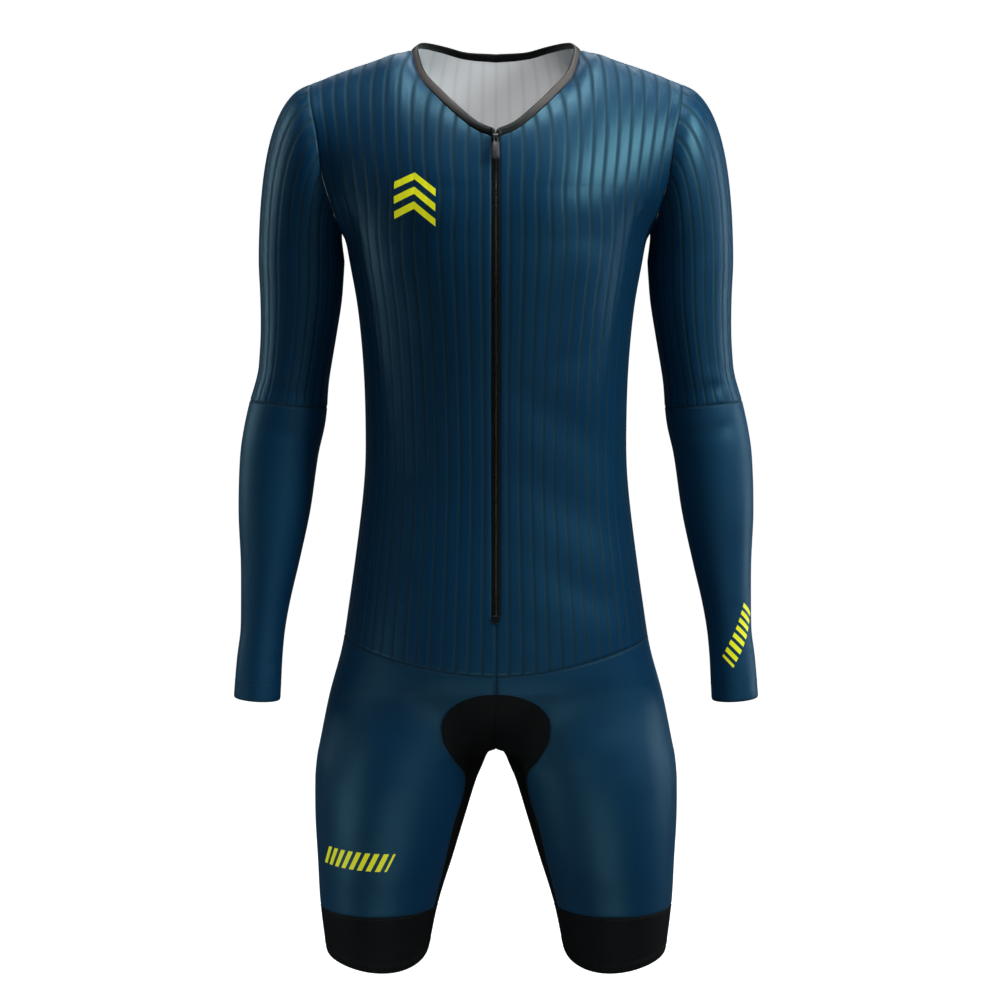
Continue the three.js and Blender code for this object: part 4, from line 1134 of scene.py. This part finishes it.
# What repeats along a seam or the zip comes from one tree: a path, a pitch and a shape


def lineObject(name, lines):
    points, edges = [], []
    for line in lines:
        start = len(points)
        points += (np.asarray(line) * mm).tolist()
        edges += [(start + i, start + i + 1) for i in range(len(line) - 1)]
    mesh = bpy.data.meshes.new(name)
    mesh.from_pydata(points, edges, [])
    return addObject(name, mesh)


def repeatTree(name, sidewise):
    tree = bpy.data.node_groups.new(name, "GeometryNodeTree")
    sockets = {"Path": "Geometry", "Pitch": "Float", "Length": "Float", "Radius": "Float",
               "Finish": "Material"}
    for socket, kind in sockets.items():
        tree.interface.new_socket(socket, in_out="INPUT", socket_type="NodeSocket" + kind)
    tree.interface.new_socket("Result", in_out="OUTPUT", socket_type="NodeSocketGeometry")
    kinds = {
        "start": "NodeGroupInput", "end": "NodeGroupOutput", "curve": "GeometryNodeMeshToCurve",
        "spaced": "GeometryNodeResampleCurve", "stretch": "GeometryNodeTransform",
        "size": "ShaderNodeCombineXYZ", "tangent": "GeometryNodeInputTangent",
        "align": "FunctionNodeAlignRotationToVector",
        "copies": "GeometryNodeInstanceOnPoints", "real": "GeometryNodeRealizeInstances",
        "smooth": "GeometryNodeSetShadeSmooth", "finish": "GeometryNodeSetMaterial",
    }
    made = {key: tree.nodes.new(kind) for key, kind in kinds.items()}
    made["ball"] = node(tree, "GeometryNodeMeshUVSphere", Segments=6, Rings=5, Radius=1.0)
    made["spaced"].mode = "LENGTH"
    made["align"].axis = "Z"
    if sidewise:
        made["align"].pivot_axis = "X"
    for source, out, target, into in (
        ("start", "Path", "curve", "Mesh"), ("curve", 0, "spaced", "Curve"),
        ("start", "Pitch", "spaced", "Length"), ("start", "Radius", "size", "Y"),
        ("start", "Radius", "size", "Z" if sidewise else "X"), ("ball", "Mesh", "stretch", "Geometry"),
        ("size", 0, "stretch", "Scale"), ("spaced", 0, "copies", "Points"),
        ("stretch", 0, "copies", "Instance"), ("tangent", 0, "align", "Vector"),
        ("align", 0, "copies", "Rotation"), ("copies", 0, "real", 0), ("real", 0, "smooth", 0),
        ("smooth", 0, "finish", "Geometry"), ("start", "Finish", "finish", "Material"),
        ("finish", 0, "end", 0),
    ):
        tree.links.new(made[source].outputs[out], made[target].inputs[into])
    half = math2(tree, "MULTIPLY", made["start"].outputs["Length"], 0.5)
    tree.links.new(half, made["size"].inputs["X" if sidewise else "Z"])
    return tree


def repeatAlong(name, lines, tree, settings, material):
    source = lineObject(name + "_path", lines)
    modifier = source.modifiers.new("repeat", "NODES")
    modifier.node_group = tree
    sockets = {item.name: item.identifier for item in tree.interface.items_tree if item.in_out == "INPUT"}
    for key in ("Pitch", "Length", "Radius"):
        modifier[sockets[key]] = settings[key.lower()] * mm
    modifier[sockets["Finish"]] = material
    bpy.context.view_layer.update()
    mesh = bpy.data.meshes.new_from_object(source.evaluated_get(bpy.context.evaluated_depsgraph_get()))
    piece = addObject(name, mesh)
    bpy.data.objects.remove(source)
    return piece


stitchTree = repeatTree("stitches", False)
coilTree = repeatTree("coil", True)


def makeCoil():
    line, ways = frontCentre()
    path = line + ways * zipper["coilLift"]
    path = path[path[:, 2] < path[-1, 2] - 3]
    settings = {"pitch": zipper["pitch"], "length": 2 * zipper["coilHalf"], "radius": zipper["coilRadius"]}
    return repeatAlong("zip_coil_teeth", [path], coilTree, settings, finishes["coil"])


pieces["zip_chain"] = makeTape()
coil = makeCoil()
print("zip made")

# Stitches along the seams


def seamLine(grid, edge, inset, lift):     # a line on the cloth at a distance from one edge of a grid
    points, ways = grid["point"], grid["way"]
    if edge in ("top", "right"):
        points, ways = (points[::-1], ways[::-1]) if edge == "top" else (points[:, ::-1], ways[:, ::-1])
    if edge in ("left", "right"):
        points, ways = points.transpose(1, 0, 2), ways.transpose(1, 0, 2)
    steps = np.linalg.norm(np.diff(points, axis=0), axis=2)
    away = np.concatenate([np.zeros((1, steps.shape[1])), np.cumsum(steps, 0)])
    line = []
    for j in range(points.shape[1]):
        i = min(int(np.searchsorted(away[:, j], inset)), len(points) - 1)
        t = (inset - away[i - 1, j]) / max(away[i, j] - away[i - 1, j], 1e-6)
        line.append(mix(points[i - 1, j], points[i, j], t) + mix(ways[i - 1, j], ways[i, j], t) * lift)
    return np.array(line)


stitch = {"pitch": 2.9, "length": 2.2, "radius": 0.2, "inset": 2.3, "lift": 0.1, "neckX": 86,
          "cuff": 16, "hem": (7, 9.5)}


def makeStitches():
    blue, black = [], []
    inset, lift = stitch["inset"], stitch["lift"]
    for side in ("left", "right"):
        legGrid, bandGrid = panels["leg_" + side][0], panels["leg_band_" + side][0]
        upper, lower = panels["upper_sleeve_" + side][0], panels["lower_sleeve_" + side][0]
        blue.append(seamLine(legGrid, "top", inset, lift))
        blue.append(seamLine(lower, "top", inset, lift))
        blue.append(seamLine(lower, "bottom", stitch["cuff"], lift))
        blue.append(seamLine(upper, "top", inset, lift))
        blue += [seamLine(legGrid, edge, inset, lift) for edge in ("left", "right")]
        wide, narrow = panels["front_" + side]
        blue.append(seamLine(narrow, "right", inset, lift))
        shoulder = seamLine(wide, "top", inset, lift)
        blue.append(shoulder[np.abs(shoulder[:, 0]) > stitch["neckX"]])
        black.append(seamLine(bandGrid, "top", inset, lift))
        black += [seamLine(bandGrid, "bottom", up, lift) for up in stitch["hem"]]
    return (repeatAlong("blue_stitches", blue, stitchTree, stitch, finishes["blueThread"]),
            repeatAlong("black_stitches", black, stitchTree, stitch, finishes["blackThread"]))


blueStitches, blackStitches = makeStitches()
print("stitches made")

# Zip slider, pull tab and bottom stop

hardware = {"width": 7.6, "length": 10.4, "above": 4, "thickness": 2.4, "corner": 2.2, "pinOut": 2.2,
            "seat": 14, "bevel": 0.3}
crown = {"side": 1.1, "end": 1.0, "corner": 1.6, "raised": 0.35, "sunk": 0.1}
ears = {"x": 2.9, "half": 0.5, "high": 1.6, "past": 0.8, "sunk": 0.2, "pinRadius": 0.6, "pinHalf": 3.1}
tab = {"halfWidth": 3.35, "length": 23.8, "thickness": 1.3, "neck": 6.3, "corner": 2.2, "legX": 1.5,
       "legHalf": 0.6, "legOverlap": 0.6, "legEnd": 1.0, "bevel": 0.28}
tabFace = {"side": 1.0, "top": 2.2, "bottom": 1.4, "corner": 1.2, "raised": 0.28}
eye = {"inner": 0.95, "outer": 1.7, "half": 2.1}
roundSteps, rodSides = 6, 20
stopBevel = 0.45


def roundedOutline(halfWidth, top, bottom, corner):
    outline = []
    side, high, low = halfWidth - corner, top - corner, bottom + corner
    for cx, cz, first in ((side, high, 0), (-side, high, 90), (-side, low, 180), (side, low, 270)):
        for k in range(roundSteps + 1):
            angle = math.radians(first + 90 * k / roundSteps)
            outline.append((cx + corner * math.cos(angle), cz + corner * math.sin(angle)))
    return outline


def plate(shape, outline, nearY, farY):
    near = [shape.verts.new((x, nearY, z)) for x, z in outline]
    far = [shape.verts.new((x, farY, z)) for x, z in outline]
    count = len(outline)
    shape.faces.new(near)
    shape.faces.new(list(reversed(far)))
    for i in range(count):
        k = (i + 1) % count
        shape.faces.new([near[k], near[i], far[i], far[k]])


def ring(shape, x, radius):     # a circle of points about the pin's own line
    turns = [2 * math.pi * k / rodSides for k in range(rodSides)]
    return [shape.verts.new((x, radius * math.cos(turn), radius * math.sin(turn))) for turn in turns]


def joinRings(shape, rings):
    for a, b in zip(rings, rings[1:]):
        for k in range(rodSides):
            shape.faces.new([a[k], a[(k + 1) % rodSides], b[(k + 1) % rodSides], b[k]])


def rod(shape, radius, halfLength):
    ends = ((-halfLength, radius * 0.75), (-halfLength + 0.15, radius), (halfLength - 0.15, radius),
            (halfLength, radius * 0.75))
    rings = [ring(shape, x, r) for x, r in ends]
    joinRings(shape, rings)
    shape.faces.new(rings[0])
    shape.faces.new(list(reversed(rings[-1])))


def soften(piece, width, segments):
    edges = piece.modifiers.new("edges", "BEVEL")
    edges.width = width * mm
    edges.segments = segments
    edges.limit_method = "ANGLE"
    edges.angle_limit = math.radians(35)
    edges.harden_normals = False
    piece.data.polygons.foreach_set("use_smooth", [True] * len(piece.data.polygons))
    return piece


def hardPiece(name, build, bevel, finish):     # built about the hinge's own line, then set up on the chain
    shape = bmesh.new()
    build(shape)
    bmesh.ops.recalc_face_normals(shape, faces=shape.faces)
    mesh = bpy.data.meshes.new(name)
    shape.to_mesh(mesh)
    shape.free()
    line, _ = frontCentre()
    up = unit(line[-1] - line[np.argmin(np.abs(line[:, 2] - line[-1, 2] + hardware["seat"]))])
    out = np.array([0, -up[2], up[1]])
    origin = np.array(frame["joints"][0]["pos_m"]) / mm
    points = np.array([v.co for v in mesh.vertices])
    placed = origin + points[:, :1] * np.array([1, 0, 0]) - points[:, 1:2] * out + points[:, 2:] * up
    mesh.vertices.foreach_set("co", (placed * mm).ravel())
    mesh.materials.append(finish)
    mesh.update()
    return soften(addObject(name, mesh), bevel, 3)


def bar(x, half, low, high):
    return [(x - half, low), (x + half, low), (x + half, high), (x - half, high)]


def buildSlider(shape):
    y, half = hardware["pinOut"], hardware["width"] / 2
    top, bottom = hardware["above"], hardware["above"] - hardware["length"]
    plate(shape, roundedOutline(half, top, bottom, hardware["corner"]), y, y + hardware["thickness"])
    face = roundedOutline(half - crown["side"], top - crown["end"], bottom + crown["end"], crown["corner"])
    plate(shape, face, y - crown["raised"], y + crown["sunk"])
    for side in (-1, 1):
        ear = bar(side * ears["x"], ears["half"], -ears["high"], ears["high"])
        plate(shape, ear, -ears["past"], y + ears["sunk"])
    rod(shape, ears["pinRadius"], ears["pinHalf"])


def buildTab(shape):
    t, half, top, bottom = tab["thickness"] / 2, tab["halfWidth"], -tab["neck"], -tab["length"]
    plate(shape, roundedOutline(half, top, bottom, tab["corner"]), -t, t)
    faceTop, faceBottom = top - tabFace["top"], bottom + tabFace["bottom"]
    face = roundedOutline(half - tabFace["side"], faceTop, faceBottom, tabFace["corner"])
    plate(shape, face, -t - tabFace["raised"], 0)
    for side in (-1, 1):
        plate(shape, bar(side * tab["legX"], tab["legHalf"], top - tab["legOverlap"], -tab["legEnd"]), -t, t)
    rims = [ring(shape, x, r) for x, r in ((-eye["half"], eye["inner"]), (-eye["half"], eye["outer"]),
                                           (eye["half"], eye["outer"]), (eye["half"], eye["inner"]))]
    joinRings(shape, rims + rims[:1])


def makeStop():
    low, high = (Vector(corner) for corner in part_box("zip_bottom_stop"))
    shape = bmesh.new()
    bmesh.ops.create_cube(shape, size=1.0)
    for vert in shape.verts:
        vert.co = Vector([mix(low[k], high[k], vert.co[k] + 0.5) for k in range(3)])
    mesh = bpy.data.meshes.new("zip_stop")
    shape.to_mesh(mesh)
    shape.free()
    mesh.materials.append(finishes["metal"])
    return soften(addObject("zip_stop", mesh), stopBevel, 4)


slider = hardPiece("zip_slider_body", buildSlider, hardware["bevel"], finishes["metal"])
pullTab = hardPiece("zip_pull_tab", buildTab, tab["bevel"], finishes["tab"])
stop = makeStop()
print("zip hardware made")

# What rides on which body, and what each piece stands for

for name, piece in pieces.items():
    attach(piece, "garment")
    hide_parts(name)
for piece, slot, body, solid in (
    (coil, "zip_coil", "garment", None), (blueStitches, "smooth_cloth", "garment", None),
    (blackStitches, "black_cloth", "garment", None), (slider, "zip_hardware", "garment", "zip_slider"),
    (pullTab, "zip_hardware", "pull_tab", "zip_pull"), (stop, "zip_hardware", "garment", "zip_bottom_stop"),
):
    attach(piece, body)
    if solid:
        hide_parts(solid)
print("pieces ride on their bodies")

# Studio

studio = {"floor": -1.02, "flat": 3.2, "bend": 1.2, "top": 6.0, "glow": 0.95, "air": 0.03,
          "ground": (0.5, 0.5, 0.5, 1)}


def makeStage():     # a pale floor that turns up all round into a wall, without a corner
    profile = [(0.001, studio["floor"]), (studio["flat"], studio["floor"])]
    for k in range(1, 17):
        angle = math.pi / 2 * k / 16
        profile.append((studio["flat"] + studio["bend"] * math.sin(angle),
                        studio["floor"] + studio["bend"] * (1 - math.cos(angle))))
    profile.append((studio["flat"] + studio["bend"], studio["top"]))
    sides, points, faces = 96, [], []
    for radius, z in profile:
        for k in range(sides):
            angle = 2 * math.pi * k / sides
            points.append((radius * math.cos(angle), radius * math.sin(angle), z))
    for i in range(len(profile) - 1):
        for k in range(sides):
            n = (k + 1) % sides
            faces.append([(i + 1) * sides + k, (i + 1) * sides + n, i * sides + n, i * sides + k])
    mesh = bpy.data.meshes.new("floor")
    mesh.from_pydata(points, [], faces)
    mesh.polygons.foreach_set("use_smooth", [True] * len(mesh.polygons))
    material, _, shader = newMaterial("pale_floor")
    shader.inputs["Base Color"].default_value = studio["ground"]
    shader.inputs["Roughness"].default_value = 0.95
    shader.inputs["Specular IOR Level"].default_value = 0
    shader.inputs["Emission Color"].default_value = (1, 1, 1, 1)
    shader.inputs["Emission Strength"].default_value = studio["glow"]
    mesh.materials.append(material)
    floor = addObject("floor", mesh)
    floor.visible_diffuse = floor.visible_glossy = floor.visible_shadow = False     # it lights nothing itself


lamps = {     # where each is, what it is aimed at, its width and height, watts and colour
    "key": ((1.5, -0.8, 0.72), (0.08, 0, -0.15), (0.45, 0.7), 29, (0.86, 0.98, 1.0)),
    "over": ((0.15, -0.3, 1.45), (0, 0, -0.1), (1.2, 0.4), 24, (0.88, 0.97, 1.0)),
    "behind": ((0.1, 1.2, 1.1), (0, 0, -0.1), (1.4, 0.3), 7, (0.88, 0.97, 1.0)),
    "front": ((1.0, -2.1, -0.35), (0.05, 0, -0.5), (0.5, 1.2), 2, (0.88, 0.97, 1.0)),
    "low": ((0.05, -1.05, -1.4), (0, 0, -0.85), (0.8, 0.25), 2.6, (0.9, 0.97, 1.0)),
    "rimLeft": ((-1.35, 0.35, 0.1), (-0.15, 0, -0.25), (0.15, 1.3), 5, (0.72, 0.93, 1.0)),
    "rimRight": ((1.35, 0.4, -0.35), (0.15, 0, -0.5), (0.15, 1.3), 5, (0.8, 0.95, 1.0)),
    "hipLeft": ((-0.95, -0.35, -0.98), (-0.15, 0, -0.78), (0.1, 0.35), 1.4, (0.75, 0.94, 1.0)),
}
neckBeam = {"at": (0, -0.9, 0.62), "aim": (0, 0.06, -0.05), "power": 39, "degrees": 10, "blend": 0.6,
            "soft": 0.03}


def addLight(name, kind, at, aim, power, **settings):
    data = bpy.data.lights.new(name, kind)
    data.energy = power
    for key, value in settings.items():
        setattr(data, key, value)
    lamp = addObject(name, data)
    lamp.location = at
    lamp.rotation_euler = (Vector(aim) - Vector(at)).to_track_quat("-Z", "Y").to_euler()


def lightStudio():
    world = bpy.data.worlds.new("air")
    world.use_nodes = True
    air = world.node_tree.nodes["Background"].inputs
    air["Color"].default_value = (1, 1, 1, 1)
    air["Strength"].default_value = studio["air"]
    bpy.context.scene.world = world
    bpy.context.scene.view_settings.view_transform = "Standard"
    for name, (at, aim, size, power, colour) in lamps.items():
        addLight(name, "AREA", at, aim, power, shape="RECTANGLE", size=size[0], size_y=size[1], color=colour)
    addLight("neck", "SPOT", neckBeam["at"], neckBeam["aim"], neckBeam["power"],     # into the neck opening
             spot_size=math.radians(neckBeam["degrees"]), spot_blend=neckBeam["blend"],
             shadow_soft_size=neckBeam["soft"])


makeStage()
lightStudio()
print("studio ready")
